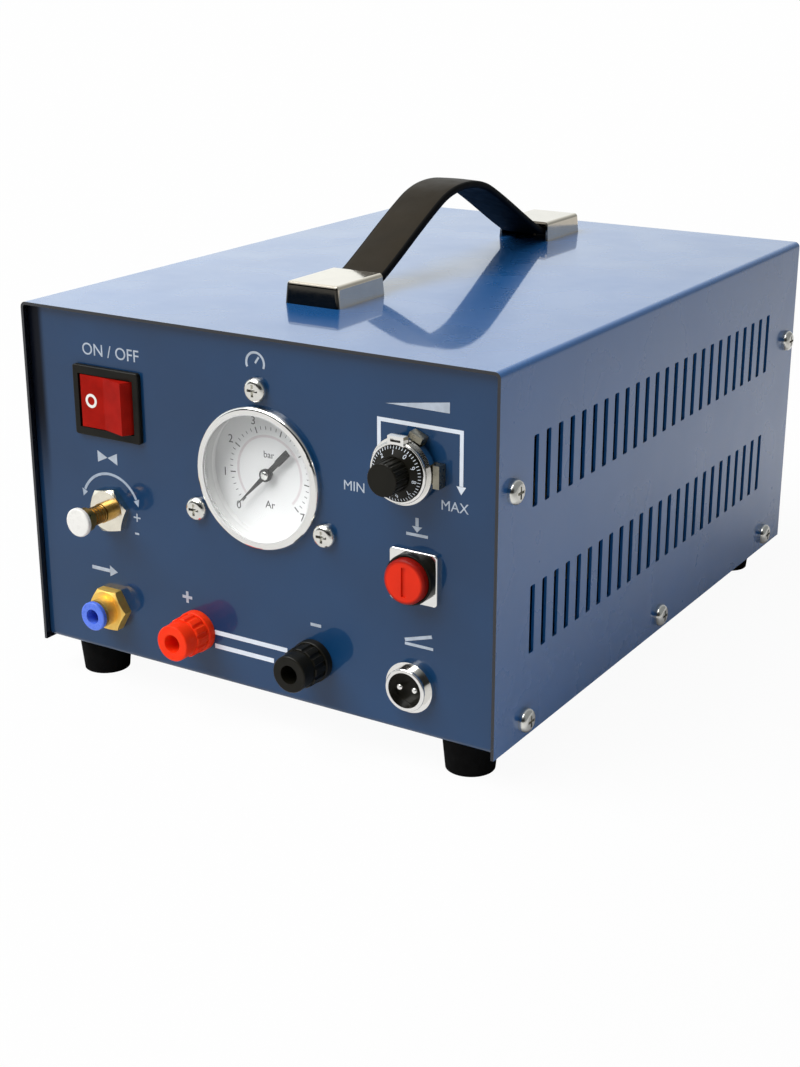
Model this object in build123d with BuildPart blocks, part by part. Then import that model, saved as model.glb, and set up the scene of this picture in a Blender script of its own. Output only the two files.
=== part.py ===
from build123d import *
import os
from math import atan, cos, degrees, radians, sin, sqrt, tan

# Pulse-arc spot welder: a bench unit in a folded sheet-metal case.
# Millimetres, +Z up, the front panel faces -Y, and the origin is on the ground under the middle of the case.

# Case
CASE_W = 216.0
CASE_D = 288.0
CASE_H = 144.0
SHEET = 1.2
BEND = 2.4  # outer radius of the folds
LIP = 2.5  # the cover's edges stand this far beyond the front and rear panels
GROUND_GAP = 14.0  # ground to the cover's lower edge
FLOOR_LIFT = 1.0  # cover's lower edge to the underside of the floor
COVER_FIT = 0.25  # gap between the cover and the chassis, at the sides and on top
FLANGE = 14.0  # height of the floor's side flanges
RETURN = 16.0  # depth of the panels' side returns
FIT = 0.3  # gap all round a fixed piece in its hole

# Side slots
SLOT_W = 3.7
SLOT_L = 26.6
SLOT_R = 0.7
SLOT_PITCH = 9.4
SLOT_COUNT = 25
SLOT_ROWS = 2
SLOT_ROW_GAP = 56.6
SLOT_MID_H = 74.4  # middle of the two rows over the cover's lower edge
SLOT_MID_Y = -4.0

# Screws
M5 = 5.0
M4 = 4.0
SCREW_FIT = 0.15  # radial gap of a screw in its hole
M5_HEAD_D = 9.4
M5_HEAD_H = 3.2
M4_HEAD_D = 7.6
M4_HEAD_H = 2.6
M5_NUT = 8.0
M4_NUT = 7.0
NUT_H = 3.2
NUT_ROOM = 1.0  # screw thread that stands out of its nut
COVER_SCREW_L = 8.0
EDGE_SCREW_INSET = 10.5  # from the cover's front and rear edges
EDGE_SCREW_H = 99.5
BASE_SCREW_SPACING = 121.0
BASE_SCREW_H = 7.4

# Feet
FOOT_D = 19.0
FOOT_TOP_D = 22.0
FOOT_INSET_X = 19.0
FOOT_INSET_Y = 17.0
FOOT_RECESS_D = 11.0
FOOT_RECESS_H = 7.0

# Strap handle
HANDLE_X = -5.0
HANDLE_Y = 12.5
CAP_L = 33.0
CAP_W = 25.6
CAP_H = 8.8
CAP_WALL = 1.0
CAP_R = 1.6
CAP_SLOPE = 0.6  # each wall leans in by this much at its top
HANDLE_L = 208.0  # over both caps
STRAP_W = 21.0
STRAP_T = 3.2
STRAP_SEAT = 1.9  # underside of the strap's ends over the cover
STRAP_MOUTH = 1.0  # from the cap's mouth in to the strap's bend
STRAP_PEAK = 42.5  # where the two ramps would meet, over the cover
STRAP_CROWN_R = 57.0
STRAP_BEND_R = 9.0
CAP_BOSS_D = 8.0
CAP_FOOT_D = 13.0
CAP_SCREW_IN = 11.0  # handle screw from the cap's outer end

# Places of the front fittings: across from the middle, and up from the cover's lower edge
SWITCH_X = -67.0
SWITCH_H = 107.7
GAUGE_X = 5.0
GAUGE_H = 89.2
DIAL_X = 70.0
DIAL_H = 103.9
BUTTON_X = 73.5
BUTTON_H = 64.0
VALVE_X = -69.0
VALVE_H = 63.7
OUTLET_X = -71.0
OUTLET_H = 21.2
RED_POST_X = -27.2
BLACK_POST_X = 28.3
POST_H = 20.6
SOCKET_X = 72.0
SOCKET_H = 20.4

# Rocker switch
BEZEL_W = 33.0
BEZEL_H = 28.4
BEZEL_R = 1.2
BEZEL_T = 2.0
SWITCH_WALL = 1.3
SWITCH_DEEP = 20.0
ROCKER_R = 13.4  # from the pivot to the rocker's rounded ends
ROCKER_TALL = 21.0
ROCKER_TILT = 8.0
ROCKER_FACE = 2.2  # middle of the rocker's face in front of the panel
ROCKER_GAP = 0.35
ROCKER_KEEL_W = 8.0
ROCKER_KEEL = 7.0  # pivot to the rocker's inner edge
ROCKER_HIP = 10.0  # angle where the rounded ends stop, behind the pivot
PIVOT_DEPTH = 3.0
PIVOT_D = 4.0
PIVOT_L = 1.0
RUN_FIT = 0.05  # radial gap of a shaft in its bearing
TERMINAL_W = 6.3
TERMINAL_T = 0.8
TERMINAL_L = 9.0
TERMINAL_GAP_X = 14.0
TERMINAL_GAP_Z = 10.0

# Pressure gauge
GAUGE_RING_D = 55.6
GAUGE_RING_OUT = 2.8
GAUGE_RING_LIP = 0.8
GAUGE_SIGHT_D = 49.2
GAUGE_CASE_D = 53.4
GAUGE_BORE = 51.2
GAUGE_STEP_BORE = 44.0
GAUGE_TUBE_BORE = 40.0
GAUGE_DEEP = 26.0
GAUGE_BACK = 2.0
GAUGE_FLANGE_D = 80.0
GAUGE_FLANGE_T = 1.5
GAUGE_PCD = 68.4
GAUGE_SCREWS = 3
GAUGE_SKIRT = 4.0
LENS_T = 1.6
DIAL_PLATE_DEPTH = 7.0
DIAL_PLATE_T = 0.8
POINTER_L = 20.0
POINTER_W = 2.0
POINTER_TAIL = 14.5
POINTER_TAIL_W = 2.7
POINTER_NECK = 7.5  # narrow part between the hub and the tail
POINTER_T = 0.6
POINTER_LIFT = 2.0  # pointer over the dial
POINTER_HUB_D = 5.0
POINTER_ZERO = 225.0  # direction of the pointer at no pressure
SPINDLE_D = 2.0
MOVEMENT_T = 2.0
MOVEMENT_DEPTH = 11.0
BUSH_D = 6.0
TUBE_R = 14.0
TUBE_D = 4.4
TUBE_DEPTH = 19.0
TUBE_SWEEP = 250.0
STEM_D = 10.0
STEM_HEX = 14.0
STEM_HEX_L = 8.0
STEM_ARM_W = 8.0
STEM_ARM_L = 18.0
STEM_ARM_UP = 4.0
STEM_ARM_T = 8.0
TEE = 14.0

# Gas hoses and the barbs they are pushed on
HOSE_D = 6.0
HOSE_BORE = 4.0
BARB_D = 3.8
BARB_L = 9.0
HOSE_BEND = 16.0

# Current dial
POT_D = 22.0
POT_L = 20.0
POT_BUSH_D = 9.0
POT_BUSH_OUT = 5.2
POT_END = 2.0
POT_NUT = 12.0
POT_NUT_H = 2.2
SHAFT_D = 6.0
DIAL_RING_D = 25.0
DIAL_RING_TOP_D = 23.0
DIAL_RING_STEP = 4.6
DIAL_RING_H = 7.0
DIAL_RING_BORE = 21.2
DIAL_HUB_D = 17.0
DIAL_HUB_H = 1.6
DIAL_FLOOR = 1.0
DIAL_WINDOW_W = 6.6
DIAL_WINDOW_H = 8.2
DIAL_WINDOW_REACH = 13.6  # from the dial's axis
DIAL_SIGHT_W = 4.2
DIAL_SIGHT_H = 1.2
LOCK_D = 21.0
LOCK_T = 1.1
LOCK_TABS = ((66.0, 5.6, 15.4), (0.0, 8.4, 15.6))  # direction, width and reach of its two tabs
KNOB_SKIRT_D = 20.6
KNOB_SKIRT_LOW = 5.6
KNOB_SKIRT_TOP = 7.4
KNOB_CONE_D = 13.2
KNOB_CONE_H = 9.2
KNOB_D = 12.4
KNOB_OUT = 17.2
KNOB_FLUTE_D = 1.4
KNOB_FLUTES = 18
KNOB_END_WALL = 2.5

# Push button
BUTTON_BEZEL = 20.0
BUTTON_BEZEL_T = 2.0
BUTTON_BEZEL_R = 1.5
BUTTON_BEZEL_EDGE = 0.5
BUTTON_WELL = 2.8  # floor of the round well in front of the panel
COLLAR_D = 19.2
COLLAR_TOP = 5.6
COLLAR_EDGE = 0.4
BUTTON_D = 17.2
BUTTON_LOW = 5.2
BUTTON_OUT = 8.6
BUTTON_EDGE = 1.4
BUTTON_GROOVE_W = 2.0
BUTTON_GROOVE_L = 11.2
BUTTON_GROOVE_DEEP = 0.8
BUTTON_STEM_D = 8.0
BUTTON_STEM_IN = 11.0
BUTTON_BODY_D = 15.7
BUTTON_BODY_L = 22.0
BUTTON_BODY_END = 2.0
BUTTON_NUT = 19.0

# Foot-switch socket
SOCKET_FLANGE_D = 19.8
SOCKET_FLANGE_T = 2.2
SOCKET_D = 16.6
SOCKET_OUT = 5.4
SOCKET_BORE = 13.8
SOCKET_BACK = 12.0
SOCKET_SEAT = 8.0
SOCKET_SEAT_BORE = 11.6
SOCKET_FACE = 0.6
SOCKET_NUT = 20.0
PIN_D = 2.5
PIN_GAP = 6.4
PIN_OUT = 4.0
PIN_BACK = 16.0

# Argon valve
VALVE_BUSH_D = 8.0
VALVE_BUSH_OUT = 6.4
VALVE_HEX = 16.8
VALVE_HEX_H = 3.2
VALVE_HEX_TURN = 10.0
VALVE_BODY_D = 17.0
VALVE_BODY_L = 24.0
VALVE_SPINDLE_D = 5.0
VALVE_SPINDLE_IN = 16.0
VALVE_ROD_D = 6.4
VALVE_ROD_LOW = 6.8
VALVE_THREAD_D = 7.4
VALVE_THREAD_PITCH = 1.5
VALVE_COLLAR_D = 9.6
VALVE_COLLAR_LOW = 14.6
VALVE_CAP_D = 11.6
VALVE_CAP_LOW = 18.6
VALVE_CAP_OUT = 20.2
VALVE_CAP_EDGE = 0.7

# Argon outlet
OUTLET_HEX = 16.4
OUTLET_HEX_H = 4.6
OUTLET_HEX_TURN = 0.0
OUTLET_NECK_D = 11.8
OUTLET_NECK_H = 9.6
OUTLET_THREAD_D = 9.6
OUTLET_THREAD_L = 14.0
OUTLET_NUT = 14.0
OUTLET_SEAT = 0.4  # floor of the collet's bore
OUTLET_STOP = 5.0  # the tube's end, behind the panel's face
COLLET_D = 12.0
COLLET_BORE = 6.2
COLLET_SLEEVE_D = 8.2
COLLET_SLEEVE_LOW = 2.0
COLLET_LOW = 11.0
COLLET_OUT = 12.8
COLLET_EDGE = 0.5
GAS_BORE = 2.0

# Output posts
POST_BASE_D = 16.8
POST_BASE_H = 3.4
POST_BUSH_D = 9.6
POST_WASHER_D = 16.0
POST_WASHER_T = 2.4
STUD_D = 6.0
STUD_OUT = 9.0
STUD_BACK = 22.0
JACK_D = 4.1
JACK_L = 12.0
POST_GRIP_D = 16.0
POST_GRIP_LOW = 3.8
POST_GRIP_TOP = 10.0
POST_BARREL_D = 14.6
POST_OUT = 16.6
POST_MOUTH_D = 7.4
POST_EDGE = 0.6
POST_FLUTES = 12
POST_FLUTE_D = 2.4
POST_NUT = 10.0

# Rear fittings: across from the middle, and up from the cover's lower edge
FAN_X = -45.0
FAN_H = 84.0
FAN = 60.0
FAN_T = 15.0
FAN_BORE = 57.0
FAN_HOLES = 50.0
FAN_HUB_D = 25.0
FAN_SEAT_D = 24.0
FAN_SEAT_T = 2.4
FAN_STRUT = 4.0
FAN_BLADES = 7
FAN_BLADE_T = 1.4
FAN_BLADE_CHORD = 13.0
FAN_BLADE_PITCH = 38.0
FAN_TIP_D = 54.5
FAN_SHAFT_D = 3.0
FAN_HUB_L = 10.0
FAN_HUB_BACK = 3.4  # from the fan's inner face to the hub
GUARD_WIRE = 1.6
GUARD_RING_D = 17.0  # the smallest ring
GUARD_RING_STEP = 12.0
GUARD_RINGS = 4
GUARD_EYE_D = 8.0
INLET_X = 58.0
INLET_H = 34.0
INLET_W = 27.0
INLET_TALL = 19.6
INLET_DEEP = 20.0
INLET_FLANGE_W = 49.0
INLET_FLANGE_H = 27.0
INLET_FLANGE_T = 2.6
INLET_FLANGE_R = 5.0
INLET_R = 2.0
INLET_SCREWS = 40.0
INLET_WALL = 1.6
INLET_WELL = 15.0
INLET_PIN_W = 2.0
INLET_PIN_H = 4.0
INLET_PIN_GAP = 7.0
INLET_PIN_RISE = 2.0
INLET_PIN_END = 4.0  # pin ends behind the flange's face
INLET_TAG = 8.0
GAS_IN_X = 60.0
GAS_IN_H = 96.0
GAS_IN_HEX = 17.0
GAS_IN_HEX_H = 5.0
GAS_IN_THREAD_D = 12.6
GAS_IN_THREAD_L = 16.0
GAS_IN_BORE = 4.0
GAS_IN_OUT = 18.0
GAS_TAIL_D = 8.0
GAS_TAIL_RIB_D = 9.4
GAS_TAIL_RIBS = 3
GAS_TAIL_RIB_L = 4.0
SOLENOID = 24.0
SOLENOID_COIL_W = 22.0
SOLENOID_COIL_H = 26.0

# Transformer
CORE_W = 84.0
CORE_T = 40.0
CORE_H = 70.0
CORE_LEG = 14.0
CORE_X = 46.0
CORE_Y = 30.0
COIL_FIT = 0.5
COIL_R = 4.0
TAB_L = 10.0
TAB_T = 2.0
FLOOR_SCREW_L = 5.0

# Control board
BOARD_W = 88.0
BOARD_D = 120.0
BOARD_T = 1.6
BOARD_X = -52.0
BOARD_Y = 20.0
BOARD_HOLE_INSET = 6.0
STANDOFF_D = 7.0
STANDOFF_H = 9.0
CAN_D = 30.0
CAN_H = 50.0
CAN_PITCH = 34.0
CAN_SHIFT = 20.0  # the cans' middle behind the board's middle
CAN_EDGE = 1.5
BOARD_SCREW_L = 5.6

# Hexagons whose front corners are turned off
HEX_FACE = 0.96  # front circle, as a share of the width over flats
HEX_SLOPE = 30.0  # of the turned corners

# Worked out from the sizes above
CASE_TOP = GROUND_GAP + CASE_H
FLOOR_Z = GROUND_GAP + FLOOR_LIFT
FLOOR_TOP = FLOOR_Z + SHEET
PANEL_Y = CASE_D / 2 - LIP
PANEL_TOP = CASE_TOP - SHEET - COVER_FIT
CHASSIS_W = CASE_W - 2 * (SHEET + COVER_FIT)
WALL_X = CHASSIS_W / 2 - SHEET / 2
LOW = (Align.CENTER, Align.CENTER, Align.MIN)


def front_plane(x, height):
    """Plane at a fitting's axis on the front panel's face, with its normal towards the user."""
    return Plane(origin=(x, -PANEL_Y, GROUND_GAP + height), x_dir=(1, 0, 0), z_dir=(0, -1, 0))


def rear_plane(x, height):
    """Plane at a fitting's axis on the rear panel's face, with its normal to the rear."""
    return Plane(origin=(x, PANEL_Y, GROUND_GAP + height), x_dir=(-1, 0, 0), z_dir=(0, 1, 0))


def disc(plane, start, end, diameter, mode=Mode.ADD):
    """Round piece on the plane's axis, from start to end along its normal."""
    with Locations(plane.offset(start)):
        Cylinder(diameter / 2, end - start, align=LOW, mode=mode)


def block(plane, start, end, width, height, mode=Mode.ADD):
    """Square-cornered piece centred on the plane's axis."""
    with Locations(plane.offset(start)):
        Box(width, height, end - start, align=LOW, mode=mode)


def rounded_block(plane, start, end, width, height, radius, mode=Mode.ADD):
    """Block with rounded corners, centred on the plane's axis."""
    with BuildSketch(plane.offset(start)) as outline:
        RectangleRounded(width, height, radius)
    extrude(outline.sketch, amount=end - start, mode=mode)


def hexagon(plane, start, end, across_flats, turn=30.0):
    """Hexagon on the plane's axis, with a corner at the given turn from the plane's x direction."""
    with BuildSketch(plane.offset(start)) as outline:
        RegularPolygon(across_flats / 2, 6, major_radius=False, rotation=turn)
    extrude(outline.sketch, amount=end - start)


def cone(plane, start, end, low_diameter, top_diameter, mode=Mode.ADD):
    """Tapered round piece on the plane's axis."""
    with Locations(plane.offset(start)):
        Cone(low_diameter / 2, top_diameter / 2, end - start, align=LOW, mode=mode)


def turned_hexagon(plane, start, end, across_flats, turn=30.0):
    """Hexagon whose front corners are turned off: the first form of its piece."""
    hexagon(plane, start, end, across_flats, turn)
    face_d = HEX_FACE * across_flats
    cone(plane, start, end, face_d + 2 * (end - start) / tan(radians(HEX_SLOPE)), face_d, Mode.INTERSECT)


def moved(plane, across, up):
    """The same plane, moved along its own axes."""
    return Plane(plane.from_local_coords((across, up, 0)), x_dir=plane.x_dir, z_dir=plane.z_dir)


def save(piece, name):
    """Name a finished piece and write its file."""
    piece.part.label = name
    export_step(piece.part, f"parts/{name}.step")


os.makedirs("parts", exist_ok=True)

# Planes of the fittings
switch_at = front_plane(SWITCH_X, SWITCH_H)
gauge_at = front_plane(GAUGE_X, GAUGE_H)
dial_at = front_plane(DIAL_X, DIAL_H)
button_at = front_plane(BUTTON_X, BUTTON_H)
valve_at = front_plane(VALVE_X, VALVE_H)
outlet_at = front_plane(OUTLET_X, OUTLET_H)
red_at = front_plane(RED_POST_X, POST_H)
black_at = front_plane(BLACK_POST_X, POST_H)
socket_at = front_plane(SOCKET_X, SOCKET_H)
fan_at = rear_plane(FAN_X, FAN_H)
inlet_at = rear_plane(INLET_X, INLET_H)
gas_in_at = rear_plane(GAS_IN_X, GAS_IN_H)

gauge_screw_r = GAUGE_PCD / 2
gauge_screw_angles = [radians(90 + turn * 360 / GAUGE_SCREWS) for turn in range(GAUGE_SCREWS)]
gauge_screw_planes = [
    moved(gauge_at, gauge_screw_r * cos(angle), gauge_screw_r * sin(angle)) for angle in gauge_screw_angles
]
corner_signs = [(-1, -1), (1, -1), (-1, 1), (1, 1)]
fan_screw_planes = [moved(fan_at, sx * FAN_HOLES / 2, sy * FAN_HOLES / 2) for sx, sy in corner_signs]
inlet_screw_planes = [moved(inlet_at, side * INLET_SCREWS / 2, 0) for side in (-1, 1)]

edge_screw_y = CASE_D / 2 - EDGE_SCREW_INSET
cover_screw_places = [(side * edge_screw_y, EDGE_SCREW_H) for side in (-1, 1)]
cover_screw_places += [(step * BASE_SCREW_SPACING, BASE_SCREW_H) for step in (-1, 0, 1)]
cover_screw_planes = [
    Plane(origin=(side * CASE_W / 2, y, GROUND_GAP + height), x_dir=(0, side, 0), z_dir=(side, 0, 0))
    for side in (-1, 1)
    for y, height in cover_screw_places
]

foot_x = CASE_W / 2 - FOOT_INSET_X
foot_y = CASE_D / 2 - FOOT_INSET_Y
foot_places = {
    "front_left": (-foot_x, -foot_y),
    "front_right": (foot_x, -foot_y),
    "rear_left": (-foot_x, foot_y),
    "rear_right": (foot_x, foot_y),
}

handle_screw_y = HANDLE_L / 2 - CAP_SCREW_IN
handle_screw_places = [(HANDLE_X, HANDLE_Y + end * handle_screw_y) for end in (-1, 1)]
tab_x = CORE_W / 2 + TAB_L / 2
tab_y = CORE_T / 2 - TAB_L / 2
core_screw_places = [(CORE_X + sx * tab_x, CORE_Y + sy * tab_y) for sx, sy in corner_signs]
board_hole_x = BOARD_W / 2 - BOARD_HOLE_INSET
board_hole_y = BOARD_D / 2 - BOARD_HOLE_INSET
standoff_places = [(BOARD_X + sx * board_hole_x, BOARD_Y + sy * board_hole_y) for sx, sy in corner_signs]
floor_screw_places = core_screw_places + standoff_places

# Holes in the panels follow the pieces that pass through them
switch_body_w = 2 * (ROCKER_R + ROCKER_GAP + SWITCH_WALL)
switch_body_h = ROCKER_TALL + 2 * (ROCKER_GAP + SWITCH_WALL)
front_holes = [
    (gauge_at, GAUGE_CASE_D),
    (dial_at, POT_BUSH_D),
    (button_at, BUTTON_BODY_D),
    (valve_at, VALVE_BUSH_D),
    (outlet_at, OUTLET_THREAD_D),
    (red_at, POST_BUSH_D),
    (black_at, POST_BUSH_D),
    (socket_at, SOCKET_D),
]

# Chassis: one sheet folded into the front panel, the floor and the rear panel, with flanges for the cover
with BuildPart() as chassis:
    with BuildSketch(Plane.YZ):
        with Locations((0, FLOOR_Z)):
            Rectangle(2 * PANEL_Y, PANEL_TOP - FLOOR_Z, align=(Align.CENTER, Align.MIN))
        with Locations((0, FLOOR_TOP)):
            Rectangle(
                2 * (PANEL_Y - SHEET),
                PANEL_TOP - FLOOR_TOP,
                align=(Align.CENTER, Align.MIN),
                mode=Mode.SUBTRACT,
            )
    extrude(amount=CHASSIS_W / 2, both=True)
    fold_edges = chassis.edges().filter_by(Axis.X)
    fillet(fold_edges.group_by(Axis.Z)[0], BEND)
    inner_folds = [e for e in chassis.edges().filter_by(Axis.X) if abs(e.center().Z - FLOOR_TOP) < SHEET / 10]
    fillet([e for e in inner_folds if abs(abs(e.center().Y) - (PANEL_Y - SHEET)) < SHEET / 10], BEND - SHEET)
    for side in (-1, 1):
        with Locations((side * WALL_X, 0, FLOOR_Z)):
            Box(SHEET, 2 * (PANEL_Y - BEND), FLANGE, align=LOW)
        for end in (-1, 1):
            with Locations((side * WALL_X, end * (PANEL_Y - RETURN / 2), FLOOR_Z + FLANGE + SHEET)):
                Box(SHEET, RETURN, PANEL_TOP - BEND - FLOOR_Z - FLANGE - SHEET, align=LOW)
    top_corners = [e for e in chassis.edges().filter_by(Axis.Y) if abs(e.center().Z - PANEL_TOP) < SHEET / 10]
    fillet(top_corners, BEND)
    for plane, diameter in front_holes:
        disc(plane, -2 * SHEET, SHEET, diameter + 2 * FIT, Mode.SUBTRACT)
    for plane in gauge_screw_planes:
        disc(plane, -2 * SHEET, SHEET, M5 + 2 * SCREW_FIT, Mode.SUBTRACT)
    block(switch_at, -2 * SHEET, SHEET, switch_body_w + 2 * FIT, switch_body_h + 2 * FIT, Mode.SUBTRACT)
    disc(fan_at, -2 * SHEET, SHEET, FAN_BORE, Mode.SUBTRACT)
    block(inlet_at, -2 * SHEET, SHEET, INLET_W + 2 * FIT, INLET_TALL + 2 * FIT, Mode.SUBTRACT)
    disc(gas_in_at, -2 * SHEET, SHEET, GAS_IN_THREAD_D + 2 * FIT, Mode.SUBTRACT)
    for plane in fan_screw_planes + inlet_screw_planes:
        disc(plane, -2 * SHEET, SHEET, M4 + 2 * SCREW_FIT, Mode.SUBTRACT)
    for plane in cover_screw_planes:
        disc(plane, -COVER_SCREW_L, SHEET, M5, Mode.SUBTRACT)
    with Locations(*[(x, y, FLOOR_Z) for x, y in foot_places.values()]):
        Cylinder(M5 / 2 + SCREW_FIT, 3 * SHEET, mode=Mode.SUBTRACT)
    with Locations(*[(x, y, FLOOR_Z) for x, y in floor_screw_places]):
        Cylinder(M4 / 2 + SCREW_FIT, 3 * SHEET, mode=Mode.SUBTRACT)
save(chassis, "chassis")

# Cover: one sheet folded over both sides and the top, with two rows of slots in each side
with BuildPart() as top_cover:
    with BuildSketch(Plane.XZ):
        with Locations((0, GROUND_GAP)):
            Rectangle(CASE_W, CASE_H, align=(Align.CENTER, Align.MIN))
            Rectangle(CASE_W - 2 * SHEET, CASE_H - SHEET, align=(Align.CENTER, Align.MIN), mode=Mode.SUBTRACT)
    extrude(amount=CASE_D / 2, both=True)
    long_edges = top_cover.edges().filter_by(Axis.Y)
    fillet(long_edges.group_by(Axis.Z)[-1], BEND)
    long_edges = top_cover.edges().filter_by(Axis.Y)
    fillet([e for e in long_edges if abs(e.center().Z - CASE_TOP + SHEET) < SHEET / 10], BEND - SHEET)
    slot_plane = Plane(origin=(0, SLOT_MID_Y, GROUND_GAP + SLOT_MID_H), x_dir=(0, 1, 0), z_dir=(1, 0, 0))
    with BuildSketch(slot_plane):
        with GridLocations(SLOT_PITCH, SLOT_ROW_GAP, SLOT_COUNT, SLOT_ROWS):
            RectangleRounded(SLOT_W, SLOT_L, SLOT_R)
    extrude(amount=CASE_W, both=True, mode=Mode.SUBTRACT)
    for plane in cover_screw_planes:
        disc(plane, -2 * SHEET, SHEET, M5 + 2 * SCREW_FIT, Mode.SUBTRACT)
    with Locations(*[(x, y, CASE_TOP) for x, y in handle_screw_places]):
        Cylinder(M4 / 2 + SCREW_FIT, 4 * SHEET, mode=Mode.SUBTRACT)
save(top_cover, "top_cover")


def pan_head_screw(thread, length, head_d, head_h):
    """Cross-recess screw with its head on the plane XY and its thread downwards."""
    with BuildPart() as screw:
        Cylinder(head_d / 2, head_h, align=LOW)
        fillet(screw.edges().group_by(Axis.Z)[-1], head_h * 0.7)
        with Locations((0, 0, head_h)):
            Box(head_d / 2, head_d / 9, head_h * 0.8, mode=Mode.SUBTRACT)
            Box(head_d / 9, head_d / 2, head_h * 0.8, mode=Mode.SUBTRACT)
        with Locations((0, 0, -length)):
            Cylinder(thread / 2, length, align=LOW)
    return screw.part


# Cover screws
cover_screw = pan_head_screw(M5, COVER_SCREW_L, M5_HEAD_D, M5_HEAD_H)
with BuildPart() as cover_screws:
    for plane in cover_screw_planes:
        with Locations(plane):
            add(cover_screw)
save(cover_screws, "cover_screws")

# Feet: tapered rubber, with a recess below for the screw's head
for corner, (x, y) in foot_places.items():
    with BuildPart() as foot:
        foot_at = Plane(origin=(x, y, 0))
        cone(foot_at, 0, FLOOR_Z, FOOT_D, FOOT_TOP_D)
        disc(foot_at, 0, FOOT_RECESS_H, FOOT_RECESS_D, Mode.SUBTRACT)
        disc(foot_at, FOOT_RECESS_H, FLOOR_Z, M5 + 2 * SCREW_FIT, Mode.SUBTRACT)
    save(foot, f"foot_{corner}")

foot_screw_l = FLOOR_TOP + NUT_H + NUT_ROOM - FOOT_RECESS_H
foot_screw = pan_head_screw(M5, foot_screw_l, M5_HEAD_D, M5_HEAD_H)
with BuildPart() as foot_screws:
    for x, y in foot_places.values():
        with Locations(Plane(origin=(x, y, FOOT_RECESS_H), z_dir=(0, 0, -1))):
            add(foot_screw)
save(foot_screws, "foot_screws")

# Strap handle: a flat strap whose ends lie under two plated caps
strap_mid = CASE_TOP + STRAP_SEAT + STRAP_T / 2
strap_end = HANDLE_L / 2 - CAP_SLOPE - CAP_WALL - FIT
strap_bend = HANDLE_L / 2 - CAP_L + STRAP_MOUTH
strap_points = [
    (HANDLE_X, HANDLE_Y - strap_end, strap_mid),
    (HANDLE_X, HANDLE_Y - strap_bend, strap_mid),
    (HANDLE_X, HANDLE_Y, CASE_TOP + STRAP_PEAK),
    (HANDLE_X, HANDLE_Y + strap_bend, strap_mid),
    (HANDLE_X, HANDLE_Y + strap_end, strap_mid),
]
with BuildPart() as handle_strap:
    with BuildLine() as strap_line:
        FilletPolyline(*strap_points, radius=[STRAP_BEND_R, STRAP_CROWN_R, STRAP_BEND_R])
    with BuildSketch(Plane(origin=strap_points[0], x_dir=(1, 0, 0), z_dir=(0, 1, 0))):
        Rectangle(STRAP_W, STRAP_T)
    sweep(path=strap_line.wire())
    with Locations(*[(x, y, strap_mid) for x, y in handle_screw_places]):
        Cylinder(CAP_BOSS_D / 2 + FIT, 2 * STRAP_T, mode=Mode.SUBTRACT)
save(handle_strap, "handle_strap")

cap_lean = degrees(atan(CAP_SLOPE / CAP_H))
for end, name in ((-1, "handle_cap_front"), (1, "handle_cap_rear")):
    cap_y = HANDLE_Y + end * (HANDLE_L / 2 - CAP_L / 2)
    outwards = Axis((0, 0, 0), (0, end, 0))
    with BuildPart() as handle_cap:
        with BuildSketch(Plane(origin=(HANDLE_X, cap_y, CASE_TOP))):
            Rectangle(CAP_W, CAP_L)
        extrude(amount=CAP_H, taper=cap_lean)
        outer_end = handle_cap.faces().sort_by(outwards)[-1]
        fillet(outer_end.edges().filter_by(Axis.X, reverse=True), CAP_R)
        top_edges = handle_cap.faces().sort_by(Axis.Z)[-1].edges().sort_by(outwards)
        fillet(top_edges[1:], CAP_R)
        with BuildSketch(Plane(origin=(HANDLE_X, cap_y - end * CAP_WALL, CASE_TOP))):
            Rectangle(CAP_W - 2 * CAP_WALL, CAP_L)
        extrude(amount=CAP_H - CAP_WALL, taper=cap_lean, mode=Mode.SUBTRACT)
        with Locations((HANDLE_X, HANDLE_Y + end * handle_screw_y, CASE_TOP)):
            Cylinder(CAP_FOOT_D / 2, STRAP_SEAT, align=LOW)
            Cylinder(CAP_BOSS_D / 2, CAP_H - CAP_WALL, align=LOW)
            Cylinder(M4 / 2 + SCREW_FIT, CAP_H - 2 * CAP_WALL, align=LOW, mode=Mode.SUBTRACT)
    save(handle_cap, name)

# Mains switch: housing with a bezel, and a rocker that turns on two pivots in its side walls
rocker_well_w = 2 * (ROCKER_R + ROCKER_GAP)
rocker_well_h = ROCKER_TALL + 2 * ROCKER_GAP
rocker_well_end = PIVOT_DEPTH + ROCKER_KEEL + ROCKER_KEEL_W / 2
pivot = switch_at.from_local_coords((0, 0, -PIVOT_DEPTH))
pivot_plane = Plane(origin=pivot, x_dir=(1, 0, 0), z_dir=(0, 0, 1))
with BuildPart() as switch_housing:
    rounded_block(switch_at, 0, BEZEL_T, BEZEL_W, BEZEL_H, BEZEL_R)
    fillet(switch_housing.edges().group_by(Axis.Y)[0], BEZEL_R / 2)
    block(switch_at, -SWITCH_DEEP, 0, switch_body_w, switch_body_h)
    block(switch_at, -rocker_well_end, BEZEL_T, rocker_well_w, rocker_well_h, Mode.SUBTRACT)
    with Locations(pivot_plane):
        Cylinder(PIVOT_D / 2 + RUN_FIT, switch_body_h, mode=Mode.SUBTRACT)
save(switch_housing, "switch_housing")

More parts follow.
